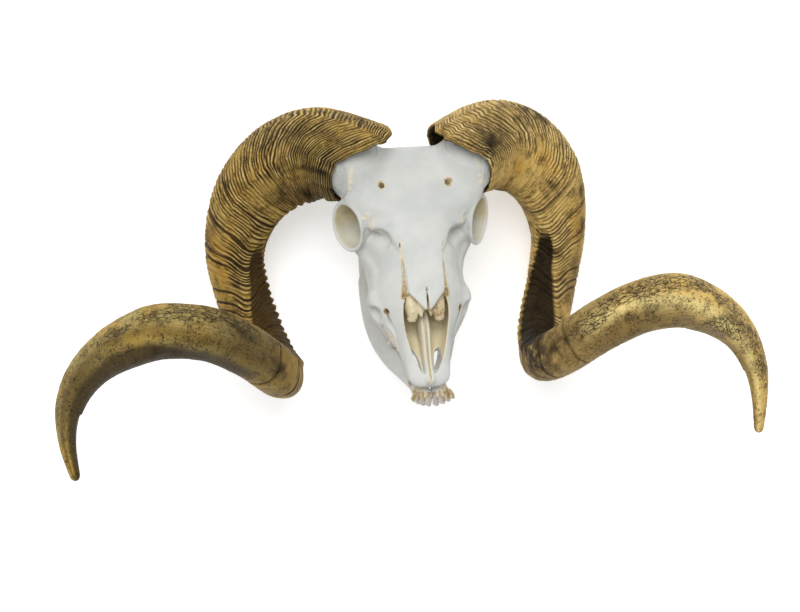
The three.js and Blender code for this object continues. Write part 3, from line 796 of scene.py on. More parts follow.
def cranium_clay():
    """The cranium, built up on the left and mirrored: each shape with the size of its blend."""
    clay = Clay((-8, -12, -20), (100, 242, 150), VOXEL)
    clay.add(BRAINCASE)
    clay.cut(LACRIMAL_PIT, 3)
    clay.add(BROW, 2.5)
    clay.add(horn_core(), 18)
    clay.add(EYE_CUP, 5)
    clay.add(EYE_RING, 3)
    clay.add(LACRIMAL_HOOK, 2)
    clay.cut(LACRIMAL_CUP, 3)
    for shape, blend in (
        (TUBER, 6), (CHEEK_ARCH, 4), (EAR_CAPSULE, 3), (EAR_TUBE, 3), (EAR_SPUR, 4),
        (NECK_KNUCKLE, 4), (NAPE_RIDGE, 5), (PALATE_WING, 3),
    ):
        clay.add(shape, blend)
    for shape, blend in (
        (EYE_SOCKET, 1.2), (NOSE_CAVITY, 1.2), (PALATE_VAULT, 4), (THROAT, 4), (NECK_HOLE, 2),
        (BROW_HOLE, 1), (CHEEK_HOLE, 1), (CHEEK_GROOVE, 2), (TUBER_HOLLOW, 3), (PALATE_SLIT, 1),
    ):
        clay.cut(shape, blend)
    clay.add(NASAL_BONES, 1.5)
    clay.cut(NASAL_GAP, 0.6)
    clay.cut(NASAL_SPLIT, 0.5)
    clay.add(NOSE_BAR, 1.5)
    clay.cut(NOSE_GROOVE, 0.8)
    for shape in (SEPTUM, SCROLL, SCROLL_CURL, SCROLL_MIDDLE):
        clay.add(shape, 1)
    return clay.mirrored()


def near(points, reach, soft, *shapes):
    """1 at points within reach of any of the shapes, fading over a soft distance beyond it."""
    x, y, z = points.T
    gap = np.full(len(points), FAR)
    for shape in shapes:
        for _, _, distance in shape if isinstance(shape, list) else [shape]:
            gap = np.minimum(gap, distance(np.abs(x), y, z))
    return 1 - fade(gap, reach, reach + soft)


def occlusion(clay, points, normals, depth=7.0):
    """How much of what a point of the surface faces is bone, from 0 to 1."""
    return 1 - fade(np.clip(clay.sample(points + normals * depth) / depth, 0, 1), 0.15, 0.85)


def speckled(points, size, seed, low, high):
    """Ragged spots, from 0 to 1."""
    return fade(rough(points, size, seed), low, high)


def jaw_masks(clay, points, normals):
    gum = near(points, 1, 3, JAW_GUM)
    patch = speckled(points, 14, 3, -0.2, 0.5)
    return {
        "stain": near(points, 0.8, 1, JAW_HOLE) + 0.7 * gum * patch,
        "ivory": occlusion(clay, points, normals) * 0.3 * patch + 0.6 * gum,
    }


def cranium_masks(clay, points, normals):
    """Where the cranium is stained, ivory, tan, pitted and fluted, from 0 to 1; the stain and the tan carry
    painted shade as well.
    """
    x, y, z = points.T
    # How enclosed each point is by bone, used to paint shade into the nose and the orbits.
    deep = occlusion(clay, points, normals)
    patch = speckled(points, 14, 3, -0.2, 0.5)
    fine = speckled(points, 5, 8, -0.1, 0.4)

    # The nose, its scrolls and the bones round it
    roof = near(points, 0.8, 1, NASAL_BONES) * fade(normals[:, 2], 0.0, 0.3)
    inside = near(points, 0.4, 0.8, NOSE_CAVITY) * (1 - roof) * fade(y, 6, 22)
    lit = 1 - 0.75 * near(points, 0.8, 1, NOSE_BAR)
    scroll = near(points, 0.8, 1, SCROLL, SCROLL_CURL, SCROLL_MIDDLE)
    curl = near(points, 0.6, 2, SCROLL_CURL)
    # Painted shade: the scrolls on the animal's left side are browner.
    shaded_side = fade(x, -3, 6) * (0.5 + 0.45 * fine)
    seam_pits = near(points, 0.3, 0.9, NASAL_GAP)
    groove = near(points, 0.7, 0.8, NOSE_GROOVE)

    # The rest of the face, from the brow to the palate
    left_side = points * np.where(points[:, :1] < 0, (-1, 1, 1), 1)
    # How near the top of the orbit a point is, for painted shade under the brow.
    upper = fade((left_side - EYE) @ EYE_AXES[1], -6, 10)
    orbit = near(points, 0.3, 0.8, EYE_SOCKET)
    holes = near(points, 0.9, 1.4, BROW_HOLE)
    cheek = near(points, 0.5, 1.0, CHEEK_HOLE)
    crease = near(points, 0.5, 1.6, COLLAR_LINE)
    lump = near(points, 1.5, 2.5, LACRIMAL_LUMP)
    crumbs = near(points, 1.2, 3, CRUMBS) * fade(-x, 0, 4)
    sediment = between(z, -12, -3, 0, 9) * between(y, 40, 52, 66, 80) * fade(np.abs(x), 18, 24)
    tooth_line = (1 - fade(z, -4, 4)) * between(y, 50, 56, 124, 132) * fade(np.abs(x), 16, 22)

    stain = np.maximum.reduce([
        # Brown in the nose: real stain, made stronger deeper in as painted shade.
        inside * 0.22 * deep * fade(z, 24, 48) * lit * (1 - scroll),
        scroll * np.maximum(0.35 * fine, shaded_side),
        curl * 0.9 * (0.4 + 0.6 * fine),
        seam_pits * (1 - fade(y, 60, 92)),
        cheek,
        0.9 * holes * (0.5 + 0.5 * fine),
        0.85 * sediment * fine,
        0.5 * crumbs * fine,
    ])
    ivory = np.maximum.reduce([
        inside * (0.4 + 0.6 * lit),
        0.75 * scroll,
        0.8 * holes,
        0.9 * seam_pits * speckled(points, 3, 4, -0.3, 0.1),
        0.75 * groove,
        crease * speckled(points, 4, 6, -0.3, 0.1),
        0.7 * sediment,
        0.6 * tooth_line,
        0.8 * crumbs * patch,
        0.6 * lump * fine,
    ])
    porous = 0.8 * scroll + 0.7 * crease + 0.5 * seam_pits + 0.8 * sediment + crumbs + 0.7 * lump
    return {
        "stain": stain,
        "ivory": ivory,
        # Tan orbit lining, stronger deeper in and towards the top as painted shade.
        "tan_and_shade": orbit * (0.75 + 0.25 * deep) * (0.45 + 0.55 * upper),
        "porous": porous,
        "collar": near(points, 0.8, 2.5, COLLAR_BAND),
    }


def clay_piece(name, clay, masks_of, material, side=1, shift=0.0):
    """A piece from clay, with fine bumps and its masks. side is -1 for the other half of a pair."""
    points, faces = biggest(*clay.skin())
    normals = normals_of(points, faces)
    masks = {key: np.clip(mask, 0, 1) for key, mask in masks_of(clay, points, normals).items()}
    bumps = 0.25 * rough(points, 9, 5)
    if "porous" in masks:
        bumps = bumps + 0.9 * masks["porous"] * rough(points, 3.2, 7)
    points = (points + normals * bumps[:, None]) * (side, 1, 1) + (shift, 0, 0)
    return mesh_piece(name, points, faces[:, ::side], masks, material)


def make_cranium(material):
    piece = clay_piece("cranium_bone", cranium_clay(), cranium_masks, material)
    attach(piece, "root")
    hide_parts("cranium")


# ---- Lower jaw -------------------------------------------------------------------------------

JAW_BODY = bar(
    [7.5, -7, -11, 8.4, 4.5], [8.5, 2, -16, 9, 6], [10, 16, -23, 7, 8], [15, 32, -28, 6.5, 11],
    [21, 48, -32, 6.5, 14], [27, 66, -36, 7, 18], [33, 88, -38, 7.5, 21], [36.5, 110, -37, 7.5, 22],
    [38, 132, -33, 6.5, 22], [38.5, 150, -28, 5, 24],
)
JAW_BRANCH = plate(x=38.5, lean=0.07, thickness=6.5, outline=[
    [128, -50], [146, -58], [164, -58], [178, -48], [183, -32], [178, -12], [177, 8],
    [181, 24], [192, 34], [190, 40], [180, 38], [174, 34], [173, 46], [177, 58], [173, 62],
    [165, 54], [158, 38], [152, 14], [141, -4], [126, -18],
])
CONDYLE = ellipsoid((47, 187, 38), (11, 5, 4.2))
JAW_HOLE = ellipsoid((17, 17, -20), (5, 2.4, 2.2), (1, -0.6, 0.2))
JAW_GUM = bar([9, -8, -9, 5, 3], [16, 4, -12, 4, 3])
SEAM = 0.15  # half the gap between the two halves of the jaw


def jaw_clay():
    clay = Clay((-3, -24, -66), (62, 200, 70), VOXEL)
    clay.add(JAW_BODY)
    clay.add(JAW_BRANCH, 5)
    clay.add(CONDYLE, 4)
    clay.cut(JAW_HOLE, 1)
    clay.field = np.maximum(clay.field, SEAM - clay.axes[0][:, None, None])
    return clay


def make_jaws(material):
    clay = jaw_clay()
    for side, name in ((1, "left"), (-1, "right")):
        piece = clay_piece(f"jaw_{name}_bone", clay, jaw_masks, material, side, JAW_SHIFT)
        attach(piece, "root")
        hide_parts(f"mandible_{name}")


# ---- Teeth -----------------------------------------------------------------------------------

CHEEK_TEETH = [8, 9, 10, 13, 16, 18]  # each crown's length along the row, front to back
UPPER_ROW = {"front": 52, "x": (24, 32), "half_width": 6.6, "heights": (-11, 8)}
LOWER_ROW = {"front": 50, "x": (20, 33), "half_width": 4.6, "heights": (-30, -11.5)}
TWO_LOBES = 9  # teeth longer than this have two lobes
INCISORS = 4  # on each side
INCISOR_ARC = (19.5, 9.5)  # half width and depth of the arc that they stand on
INCISOR_AT = (-2.0, -8)  # y and z of the arc's middle
INCISOR_STEP = math.radians(17)
INCISOR_LEAN = math.radians(-15)  # their tips point forward and a little up
INCISOR_TURN = 0.22  # how much of the arc each one turns with
INCISOR_ROLL = math.radians(34)  # each laps over the next
INCISOR_SLANT = 0.32  # how far they all lean to the animal's right
INCISOR_SIZE = (7.6, 18, 2.6)  # width, length and thickness of the middle pair
INCISOR_SHRINK = 0.07  # how much smaller each one is than the middle pair, for each step
TOOTH_VOXEL = 0.5


def tooth_row(clay, front, x, half_width, heights):
    """Cheek teeth, the longer ones with two rounded lobes."""
    y = front
    for length in CHEEK_TEETH:
        share = (y + length / 2 - front) / sum(CHEEK_TEETH)
        middle = x[0] + (x[1] - x[0]) * share
        wide = half_width * (0.72 + 0.28 * share)
        lobes, long = ((0.27, 0.73), 0.26) if length > TWO_LOBES else ((0.5,), 0.46)
        for lobe in lobes:
            clay.add(column(middle, y + length * lobe, heights, length * long, wide), 0.8)
        y += length


def incisor(n, side):
    """A front tooth: a spade with its wide end forward, turned a little on its own length."""
    angle = (n + 0.5) * INCISOR_STEP
    width, length, thickness = (v * (1 - INCISOR_SHRINK * n) for v in INCISOR_SIZE)
    roll = Matrix.Rotation(side * INCISOR_ROLL, 3, "Y")
    lean = Matrix.Rotation(INCISOR_LEAN, 3, "X")
    turn = Matrix.Rotation(angle * INCISOR_TURN, 3, "Z")
    axes = np.array(turn @ lean @ roll).T
    ahead = INCISOR_AT[0] - INCISOR_ARC[1] * math.cos(angle)
    centre = np.array([INCISOR_ARC[0] * math.sin(angle), ahead, INCISOR_AT[1]])

    def distance(x, y, z):
        aside, along, up = measured(x, y, z, centre, axes)
        share = np.clip(0.5 - along / length, 0, 1)
        wide = width * (0.42 + 0.14 * share**0.6)
        thick = thickness * (0.62 - 0.36 * share)
        across = np.abs(aside) / wide
        through = np.abs(up - 0.05 * aside**2) / thick
        around = ((across**3 + through**3) ** (1 / 3) - 1) * np.minimum(wide, thick)
        ends = np.abs(along) - length / 2 + 0.06 * aside**2
        return -lesser(-around, -ends, 0.8)

    return reaching(centre, length, distance)


def tooth_piece(name, points, faces, stain, material):
    piece = mesh_piece(name, points, faces, {"stain": stain}, material)
    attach(piece, "root")


def make_teeth(material):
    upper = Clay((12, 48, -16), (44, 132, 14), TOOTH_VOXEL)
    tooth_row(upper, **UPPER_ROW)
    lower = Clay((10, 46, -34), (42, 130, -6), TOOTH_VOXEL)
    tooth_row(lower, **LOWER_ROW)
    rows = {"upper_teeth": (upper, 0.0, 8), "lower_teeth": (lower, JAW_SHIFT, -30)}
    for side, word in ((1, "left"), (-1, "right")):
        for name, (clay, shift, root) in rows.items():
            points, faces = clay.skin()
            stain = 1 - fade(np.abs(points[:, 2] - root), 4, 14)
            points = points * (side, 1, 1) + (shift, 0, 0)
            tooth_piece(f"{name}_{word}", points, faces[:, ::side], stain, material)
        front = Clay((-3, -26, -20), (28, 14, 6), TOOTH_VOXEL)
        for n in range(INCISORS):
            front.add(incisor(n, side))
        front.field = np.maximum(front.field, SEAM + 0.1 - front.axes[0][:, None, None])
        points, faces = front.skin()
        stain = fade(points[:, 1] + 0.3 * np.abs(points[:, 0]), -13, -5)
        points = points * (side, 1, 1) + (JAW_SHIFT, 0, 0)
        points[:, 0] -= INCISOR_SLANT * np.maximum(-points[:, 1] - 6, 0)
        tooth_piece(f"incisors_{word}", points, faces[:, ::side], stain, material)


# ---- Horns -----------------------------------------------------------------------------------

# The left horn's centre line and mean radius, root to tip: x, y, z, radius.
HORN_ROUTE = [
    [42, 177, 103, 41], [80, 206, 93, 40.6], [111, 212, 76, 38.4], [136, 206, 50, 35.2],
    [151, 196, 17, 30.7], [157, 180, -17, 26.7], [151, 154, -47, 25], [141, 122, -66, 24.5],
    [131, 86, -66, 23.6], [127, 57, -46, 22.9], [139, 42, -16, 22.9], [165, 41, 13, 23],
    [200, 47, 31, 23.4], [237, 52, 33, 24.1], [267, 52, 21, 22.6], [293, 50, 2, 19.2],
    [313, 41, -19, 15.5], [325, 23, -40, 11.6], [327, -1, -59, 7.6], [322, -29, -73, 4.0],
]
BEFORE_ROOT = 60  # mm that the route runs on, straight, before its start
INNER_START = (0, -0.87, -0.5)  # the inner edge starts towards the nose and is carried along
EDGE, FLAT = 0.06, 0.05  # how far the three edges stand out, and how much wider than deep it is
CORE = {"start": 0.025, "end": 0.15, "root": 0.71, "tip": 0.64, "forward": 3, "aside": -3}


class HornPath:
    """The route of a horn by its length in millimetres."""

    def __init__(self):
        fine = smooth_rows(HORN_ROUTE, 401)
        steps = np.gradient(fine[:, :3], axis=0)
        along = steps / np.linalg.norm(steps, axis=1)[:, None]
        pieces = np.linalg.norm(np.diff(fine[:, :3], axis=0), axis=1)
        inner = [np.array(INNER_START, float)]
        for direction in along:
            inner.append(unit(inner[-1] - direction * (inner[-1] @ direction)))
        self.s = np.concatenate([[-BEFORE_ROOT, 0], np.cumsum(pieces)])
        self.length = self.s[-1]
        first = np.r_[fine[0, :3] - along[0] * BEFORE_ROOT, fine[0, 3]]
        self.rows = np.vstack([first, fine])
        self.inner = np.vstack([inner[1:2], inner[1:]])
        self.across = np.cross(np.vstack([along[:1], along]), self.inner)

    def read(self, s):
        """The centre and radius, the inner direction and the one across it, at lengths s."""
        tables = (self.rows, self.inner, self.across)
        return [np.stack([np.interp(s, self.s, c) for c in table.T], -1) for table in tables]

    def at_share(self, share):
        row, inner, across = self.read(np.array(share * self.length))
        return {"at": row[:3], "radius": row[3], "inner": inner, "across": across}


HORN_PATH = HornPath()

SIDES = 176  # points round a horn
RINGS = 1300  # and along it
# Where the sheath starts by the angle round it, in degrees and mm: below 0 it reaches over the skull.
RIM = [[0, 14], [45, 22], [90, 20], [135, 10], [180, -6], [205, -27], [228, -31], [250, -22],
       [268, -8], [283, 3], [320, 8], [360, 14]]
DROOP = {"reach": 40, "drop": 34, "towards": (0.18, 0.6, -0.78)}  # the part over the skull turns down
# The inner face's two sharp edges by length: mm, degrees of the plain edge and of the knobbed one.
INNER_FACE = [[0, 352, 352], [130, 352, 353], [170, 346, 358], [200, 338, 370], [230, 333, 380],
              [260, 318, 390], [290, 302, 402], [330, 292, 406], [390, 290, 406], [692, 290, 406]]
HOLLOW = 0.16  # how deep the inner face is hollowed, as a share of the radius
PITCH = [[0, 3.1], [110, 3.1], [200, 3.9], [330, 6.0], [692, 8]]  # from one growth ridge to the next
FINER = 0.72  # the ridges' other pace, which takes over in patches
RIDGE_HEIGHT = 1.5
# How strong the growth ridges are: at these angles, by length.
RIDGE_ANGLES = np.array([0, 60, 130, 190, 225, 260, 288, 302, 330, 360], float)
RIDGE_ROWS = [
    [0, 0.4, 0.5, 0.6, 0.7, 0.9, 1, 1, 0.7, 0.45, 0.4],
    [60, 0.4, 0.5, 0.6, 0.7, 0.9, 1.15, 1, 0.5, 0.4, 0.4],
    [110, 0.5, 0.5, 0.6, 0.7, 0.8, 0.9, 0.7, 0.5, 0.55, 0.5],
    [160, 0.6, 0.5, 0.5, 0.6, 0.7, 0.6, 0.5, 0.7, 1.1, 0.6],
    [210, 0.5, 0.5, 0.5, 0.5, 0.35, 0.2, 0.3, 0.9, 1.2, 0.5],
    [270, 0.5, 0.5, 0.4, 0.4, 0.2, 0.15, 0.5, 1.1, 0.7, 0.5],
    [330, 0.5, 0.5, 0.3, 0.3, 0.15, 0.12, 0.6, 0.7, 0.4, 0.5],
    [400, 0.2, 0.15, 0.1, 0.1, 0.06, 0.06, 0.2, 0.2, 0.2, 0.2],
    [470, 0, 0, 0, 0, 0, 0, 0, 0, 0, 0],
]
YEARS = (86, 131, 163, 190, 198, 226, 239, 247, 283, 312, 343, 371, 402, 437)  # deep rings, by length
YEAR_DEPTH = 1.3
KNOB_PITCH = 8.3
KNOB_HEIGHT = 3.6
BASE_KNOBS = 115  # up to this length the knobs are twice as long
CHIP = {"s": 628, "angle": 205, "width": 38, "depth": 1.6}
DENT = {"angle": 352, "width": 34, "depth": 6.5}  # in the base, behind the orbit
TIP_DOME = 5  # mm over which the tip rounds off
# What differs between the horns: the line of the last arc's lengthwise ridge, then patches as rows of
# length, degrees, half length and half width in mm, and the colours, painted highlight and shade among them.
LEFT_HORN = {
    "seed": 11,
    "knobs": 0.5,
    "rim": [[0, 0], [360, 0]],
    "line": [[380, 75], [453, 81], [482, 93], [514, 111], [565, 141], [626, 153], [692, 153]],
    "dark": [[12, 262, 14, 14], [118, 312, 12, 4], [76, 230, 14, 12], [62, 250, 10, 5],
             [395, 75, 20, 12], [462, 100, 26, 6], [300, 95, 20, 8], [150, 258, 10, 5],
             [185, 262, 9, 4], [368, 80, 24, 34], [350, 30, 20, 20]],
    "orange": [[100, 290, 22, 9], [176, 285, 20, 8], [60, 318, 16, 8]],
    "cracked": [[478, 46, 44, 11], [516, 44, 18, 9], [555, 70, 24, 8], [425, 66, 22, 10],
                [560, 130, 30, 9], [610, 95, 34, 7]],
    "umber": [[20, 255, 30, 26], [400, 80, 32, 30], [440, 130, 40, 14], [245, 300, 40, 7],
              [90, 228, 90, 12], [350, 20, 40, 60], [240, 270, 40, 20], [366, 85, 26, 34],
              [372, 100, 14, 16]],
    "tone": {
        "ochre": (0.82, 0.55, 0.155), "brown": (0.63, 0.41, 0.112), "orange": (0.70, 0.39, 0.06),
        "straw": (0.80, 0.58, 0.20), "umber": (0.15, 0.09, 0.027), "crest": (0.90, 0.72, 0.36),
        "cream": (0.60, 0.44, 0.17), "cream_shade": (0.40, 0.26, 0.078), "band": (0.93, 0.74, 0.30),
        "under": (0.22, 0.145, 0.05), "underside_shade_share": 0.55, "inner": (0.012, 0.006, 0.002),
        "inner_shade_dark": (0.005, 0.0025, 0.001), "inner_crest": (0.018, 0.009, 0.003),
        "groove_shade_share": 0.75, "thread": (0.31, 0.185, 0.055),
    },
}
RIGHT_HORN = {
    "seed": 23,
    "knobs": 1.5,
    "rim": [[0, 0], [225, 0], [245, 6], [262, 9.5], [300, 10], [335, 6], [360, 2]],
    "line": [[380, 112], [480, 111], [499, 102], [514, 90], [550, 81], [575, 93], [692, 95]],
    "dark": [[78, 302, 9, 9], [30, 302, 22, 4], [52, 300, 16, 4], [60, 345, 24, 8], [98, 330, 10, 8],
             [122, 322, 8, 6], [14, 320, 10, 10], [400, 95, 9, 8], [446, 60, 18, 8], [505, 150, 34, 8]],
    "orange": [[96, 272, 16, 12], [128, 278, 12, 8], [192, 272, 12, 10], [208, 280, 12, 8],
               [168, 300, 16, 6]],
    "cracked": [[486, 42, 20, 12], [468, 32, 14, 9], [508, 50, 12, 8], [446, 40, 16, 8],
                [545, 60, 20, 6]],
    "umber": [[40, 335, 70, 26], [20, 280, 40, 14], [60, 250, 50, 10], [430, 80, 44, 40],
              [600, 130, 50, 24]],
    "tone": {
        "ochre": (0.52, 0.325, 0.060), "brown": (0.31, 0.185, 0.041), "orange": (0.56, 0.30, 0.042),
        "straw": (0.58, 0.40, 0.11), "umber": (0.080, 0.046, 0.013), "crest": (0.84, 0.65, 0.27),
        "cream": (0.52, 0.41, 0.15), "cream_shade": (0.32, 0.22, 0.058), "band": (0.205, 0.125, 0.018),
        "under": (0.085, 0.062, 0.026), "underside_shade_share": 0.95, "inner": (0.105, 0.058, 0.013),
        "inner_shade_dark": (0.030, 0.016, 0.005), "inner_crest": (0.085, 0.045, 0.010),
        "groove_shade_share": 0.9, "thread": (0.070, 0.038, 0.010),
    },
}
PATCHES = ("dark", "orange", "cracked", "umber")


def turn_apart(angle, other):
    """How far one angle is past another, from -180 to 180 degrees."""
    return (angle - other + 180) % 360 - 180


def table_at(rows, at):
    """A table's columns at values of its first column."""
    rows = np.array(rows, float)
    return [np.interp(at, rows[:, 0], column) for column in rows.T[1:]]


def horn_frame(s, angle):
    """The centre, radius and outward direction of the sheath by length and angle, droop included."""
    row, inner, across = HORN_PATH.read(np.clip(s, -BEFORE_ROOT, HORN_PATH.length))
    turn = np.radians(angle)[..., None]
    behind = np.clip(-s, 0, BEFORE_ROOT) / DROOP["reach"]
    sink = (DROOP["drop"] * behind**2)[..., None] * unit(DROOP["towards"])
    return row[..., :3] + sink, row[..., 3], np.cos(turn) * inner + np.sin(turn) * across


def patches(rows, s, angle, radius):
    """A mask of soft patches on the sheath, from rows of length, degrees, half length, half width."""
    mask = np.zeros(s.shape)
    for at, around, long, wide in rows:
        beside = turn_apart(angle, around) * np.pi / 180 * radius
        mask = np.maximum(mask, np.exp(-(((s - at) / long) ** 2) - (beside / wide) ** 2))
    return mask


def ridge_strength(s, angle):
    """How strong the growth ridges are on a grid of lengths and angles."""
    columns = np.searchsorted(RIDGE_ANGLES, angle[0], side="right").clip(1, len(RIDGE_ANGLES) - 1)
    levels = np.stack(table_at(RIDGE_ROWS, s))
    low = RIDGE_ANGLES[columns - 1]
    part = (angle[0] - low) / (RIDGE_ANGLES[columns] - low)
    each = np.arange(s.shape[1])
    return levels[columns - 1, :, each].T * (1 - part) + levels[columns, :, each].T * part


def horn_surface(own):
    """Points of the outside of a sheath, rim to tip, with its lengths, angles and masks."""
    seed = own["seed"]

    def ruffled(where, size, shift, layers=3):
        return rough(where.reshape(-1, 3), size, seed + shift, layers).reshape(where.shape[:-1])

    angle = np.linspace(0, 360, SIDES, endpoint=False)[None, :]
    turn = np.radians(angle)
    circle = np.stack([np.cos(turn) * 40, np.sin(turn) * 40, 0 * angle + seed], -1)
    rim = table_at(RIM, angle)[0] + table_at(own["rim"], angle)[0]
    rim = rim + 2.6 * ruffled(circle, 16, 0) + 1.5 * ruffled(circle, 3.4, 4, 1)
    share = np.linspace(0, 1, RINGS)[:, None]
    s = rim + (HORN_PATH.length - rim) * (0.75 * share + 0.25 * share**2)
    angle = np.broadcast_to(angle, s.shape)
    centre, radius, outward = horn_frame(s, angle)
    where = centre + radius[..., None] * outward
    beside = np.radians(angle) * radius

    # The inner face, between the plain edge and the knobbed one.
    front, knobbed = table_at(INNER_FACE, s)
    from_front, from_knobs = turn_apart(angle, front), turn_apart(angle, knobbed)
    span = np.maximum(knobbed - front, 1)
    in_face = np.clip(from_front / span, 0, 1) * (from_front > 0) * (from_front < span)
    hollow = np.sin(np.pi * in_face) * fade(span, 10, 45) * (1 - fade(s, 340, 450))

    # Growth ridges run level with the rim at first, and further on they sweep down into the plain edge.
    sweep = (rim + 8) * np.exp(-np.maximum(s, 0) / 120)
    dive = 15 * bell(from_front, 30) * fade(s, 110, 180)
    lay = s - sweep - dive + 2.4 * ruffled(where, 60, 1) + 0.8 * ruffled(where, 18, 9)
    reach = np.arange(-120, 760, 1.0)
    phase = np.interp(lay, reach, np.cumsum(1 / table_at(PITCH, reach)[0]))
    grain = np.stack([phase * 0.7, beside / 24, 0 * s + seed], -1)
    jitter = 0.42 * ruffled(grain, 1.0, 2, 2)
    waves = [0.5 + 0.5 * np.cos(2 * np.pi * (phase * pace + jitter + pace)) for pace in (1, FINER)]
    wave = waves[0] + (waves[1] - waves[0]) * fade(ruffled(where, 26, 12), -0.12, 0.12)
    strength = ridge_strength(s, angle)
    strength = strength * (0.8 + 0.6 * ruffled(grain * (0.8, 1, 1), 1.0, 6, 2))
    strength = np.clip(strength * (0.95 + 0.8 * ruffled(where, 30, 5)), 0.06, 1.3)
    height = RIDGE_HEIGHT * strength * (wave**1.3 - 0.4)
    crest, groove = wave**3 * strength, (1 - wave) ** 1.6 * strength

    # Deep yearly rings, and a row of knobs down the other edge.
    years = np.zeros(s.shape)
    for n, at in enumerate(YEARS):
        depth = 0.6 + 0.4 * ruffled(where, 45, 20 + n)
        years = np.maximum(years, depth * bell(lay + 0.25 * sweep - at, 1.3))
    years *= between(s, 60, 120, 400, 470)
    early = 1 - fade(s, 100, 130)
    count = np.minimum(s, BASE_KNOBS) / (2 * KNOB_PITCH) + np.maximum(s - BASE_KNOBS, 0) / KNOB_PITCH
    knobs = np.abs(np.sin(np.pi * (count + 0.2 * ruffled(where, 30, 7)))) ** (0.7 + 0.5 * early)
    knob_line = bell(from_knobs, 11 + 9 * early) * (1 + (own["knobs"] - 1) * early)
    knob_line = knob_line * between(s, 8, 30, 330, 400)
    height = height - YEAR_DEPTH * years + knob_line * (KNOB_HEIGHT * knobs - 0.8)

    # The last arc is smooth, with a ridge along it, a hollow under that and a chip near the tip.
    past_line = turn_apart(angle, table_at(own["line"], s)[0])
    last = 1.3 * bell(past_line, 15) - 1.8 * bell(past_line - 42, 22)
    height = height + between(s, 390, 450, 600, 675) * last
    height = height + between(s, 330, 420, 600, 690) * 0.9 * ruffled(where, 36, 15)
    chip = bell(turn_apart(angle, CHIP["angle"]), CHIP["width"])
    chip = chip * between(s, CHIP["s"], CHIP["s"] + 3, 640, 680)
    dent = bell(turn_apart(angle, DENT["angle"]), DENT["width"]) * (1 - fade(s, 15, 75))
    height = height - CHIP["depth"] * chip - DENT["depth"] * dent

    edge = bell(from_front, 9) * between(s, 140, 200, 300, 400)
    form = 1 + EDGE * np.cos(3 * turn) + FLAT * np.cos(2 * turn) + 0.04 * edge - HOLLOW * hollow
    past = np.clip((s - HORN_PATH.length + TIP_DOME) / TIP_DOME, 0, 1)
    out = (radius * form + height) * np.sqrt(1 - 0.97 * past**2)
    beyond = fade(s, 385, 430)
    # The hollow inner face is painted dark, as painted shade.
    shade = fade(in_face * (1 - in_face), 0.0, 0.10) * fade(span, 8, 26) * (1 - fade(s, 350, 405))
    masks = {
        # Painted highlight on the ridge crests.
        "crest": np.clip(crest, 0, 1),
        # Painted shade in the grooves and yearly rings.
        "groove": np.clip(groove + 1.2 * years, 0, 1),
        "pale": beyond,
        # The band along the last arc's ridge: painted highlight on the left horn, a darker ochre line on the
        # right horn.
        "band": beyond * bell(past_line + 6, 17),
        # The underside of the last arc, for painted shade.
        "under": beyond * between(past_line, 12, 38, 110, 150),
        "shaded": np.clip(shade, 0, 1),
        "lay": np.stack([lay, beside, 0 * s], -1),
    }
    masks |= {key: patches(own[key], s, angle, radius) for key in PATCHES}
    return centre + out[..., None] * outward, s, angle, masks


LINING = ((100, 0.70), (80, 0.76), (40, 0.84), (16, 0.88), (3, 0.91), (0, 0.95))  # mm in, share of radius
LINING_SHARE = 0.04  # how much of the unwrapped length the lining takes


def make_horn(side, word, own, material):
    points, s, angle, masks = horn_surface(own)
    each = np.arange(s.shape[1])
    inside = []
    for depth, scale in LINING:
        at = s[0] + depth
        centre = horn_frame(at, angle[0])[0]
        nearest = np.abs(s - at).argmin(axis=0)
        inside.append(centre + (points[nearest, each] - centre) * scale)
    extra = len(LINING)
    points = np.concatenate([inside, points])
    rings, sides = points.shape[:2]
    masks = {key: np.concatenate([values[:1]] * extra + [values]) for key, values in masks.items()}
    # The lining inside the sheath takes the painted shade too.
    masks["shaded"][:extra] = 1
    masks = {key: values.reshape(rings * sides, *values.shape[2:]) for key, values in masks.items()}

    grid = np.arange(rings * sides).reshape(rings, sides)
    after = np.roll(grid, -1, axis=1)
    faces = np.stack([grid[:-1], after[:-1], after[1:], grid[1:]], -1).reshape(-1, 4)
    length = np.concatenate([np.linspace(-LINING_SHARE, -0.001, extra), np.linspace(0, 1, len(s))])
    length = (length + LINING_SHARE) / (1 + LINING_SHARE)
    row, column = (n.reshape(-1) for n in np.indices((rings - 1, sides)))
    corners = [(row, column), (row, column + 1), (row + 1, column + 1), (row + 1, column)]
    uv = np.stack([np.stack([length[r], c / sides], -1) for r, c in corners], 1)
    flat = points.reshape(-1, 3)
    # Both ends close on a middle point.
    for ends, order in ((grid[-1], 1), (grid[0], -1)):
        ring_of = [np.roll(ends, -n)[::2] for n in range(3)]
        cap = np.stack([*ring_of, np.full(sides // 2, len(flat))], -1)
        faces = np.vstack([faces, cap[:, ::order]])
        uv = np.concatenate([uv, np.full((len(cap), 4, 2), 0.5)])
        flat = np.vstack([flat, flat[ends].mean(0)])
        masks = {key: np.concatenate([values, values[ends[:1]]]) for key, values in masks.items()}
    flat[:, 0] *= side
    # The worn flat that it rests on.
    lift = np.maximum(-to_frame(flat)[:, 2] * 1000, 0)
    flat[:, 1] -= lift * math.sin(REST_TILT)
    flat[:, 2] += lift * math.cos(REST_TILT)
    piece = mesh_piece(f"horn_{word}_sheath", flat, faces[:, ::side], masks, material, uv[:, ::side])
    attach(piece, "root")
    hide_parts(*(f"horn_{word}_{part}" for part in ("base", "middle", "tip")))


# ---- Camera, floor and light -----------------------------------------------------------------

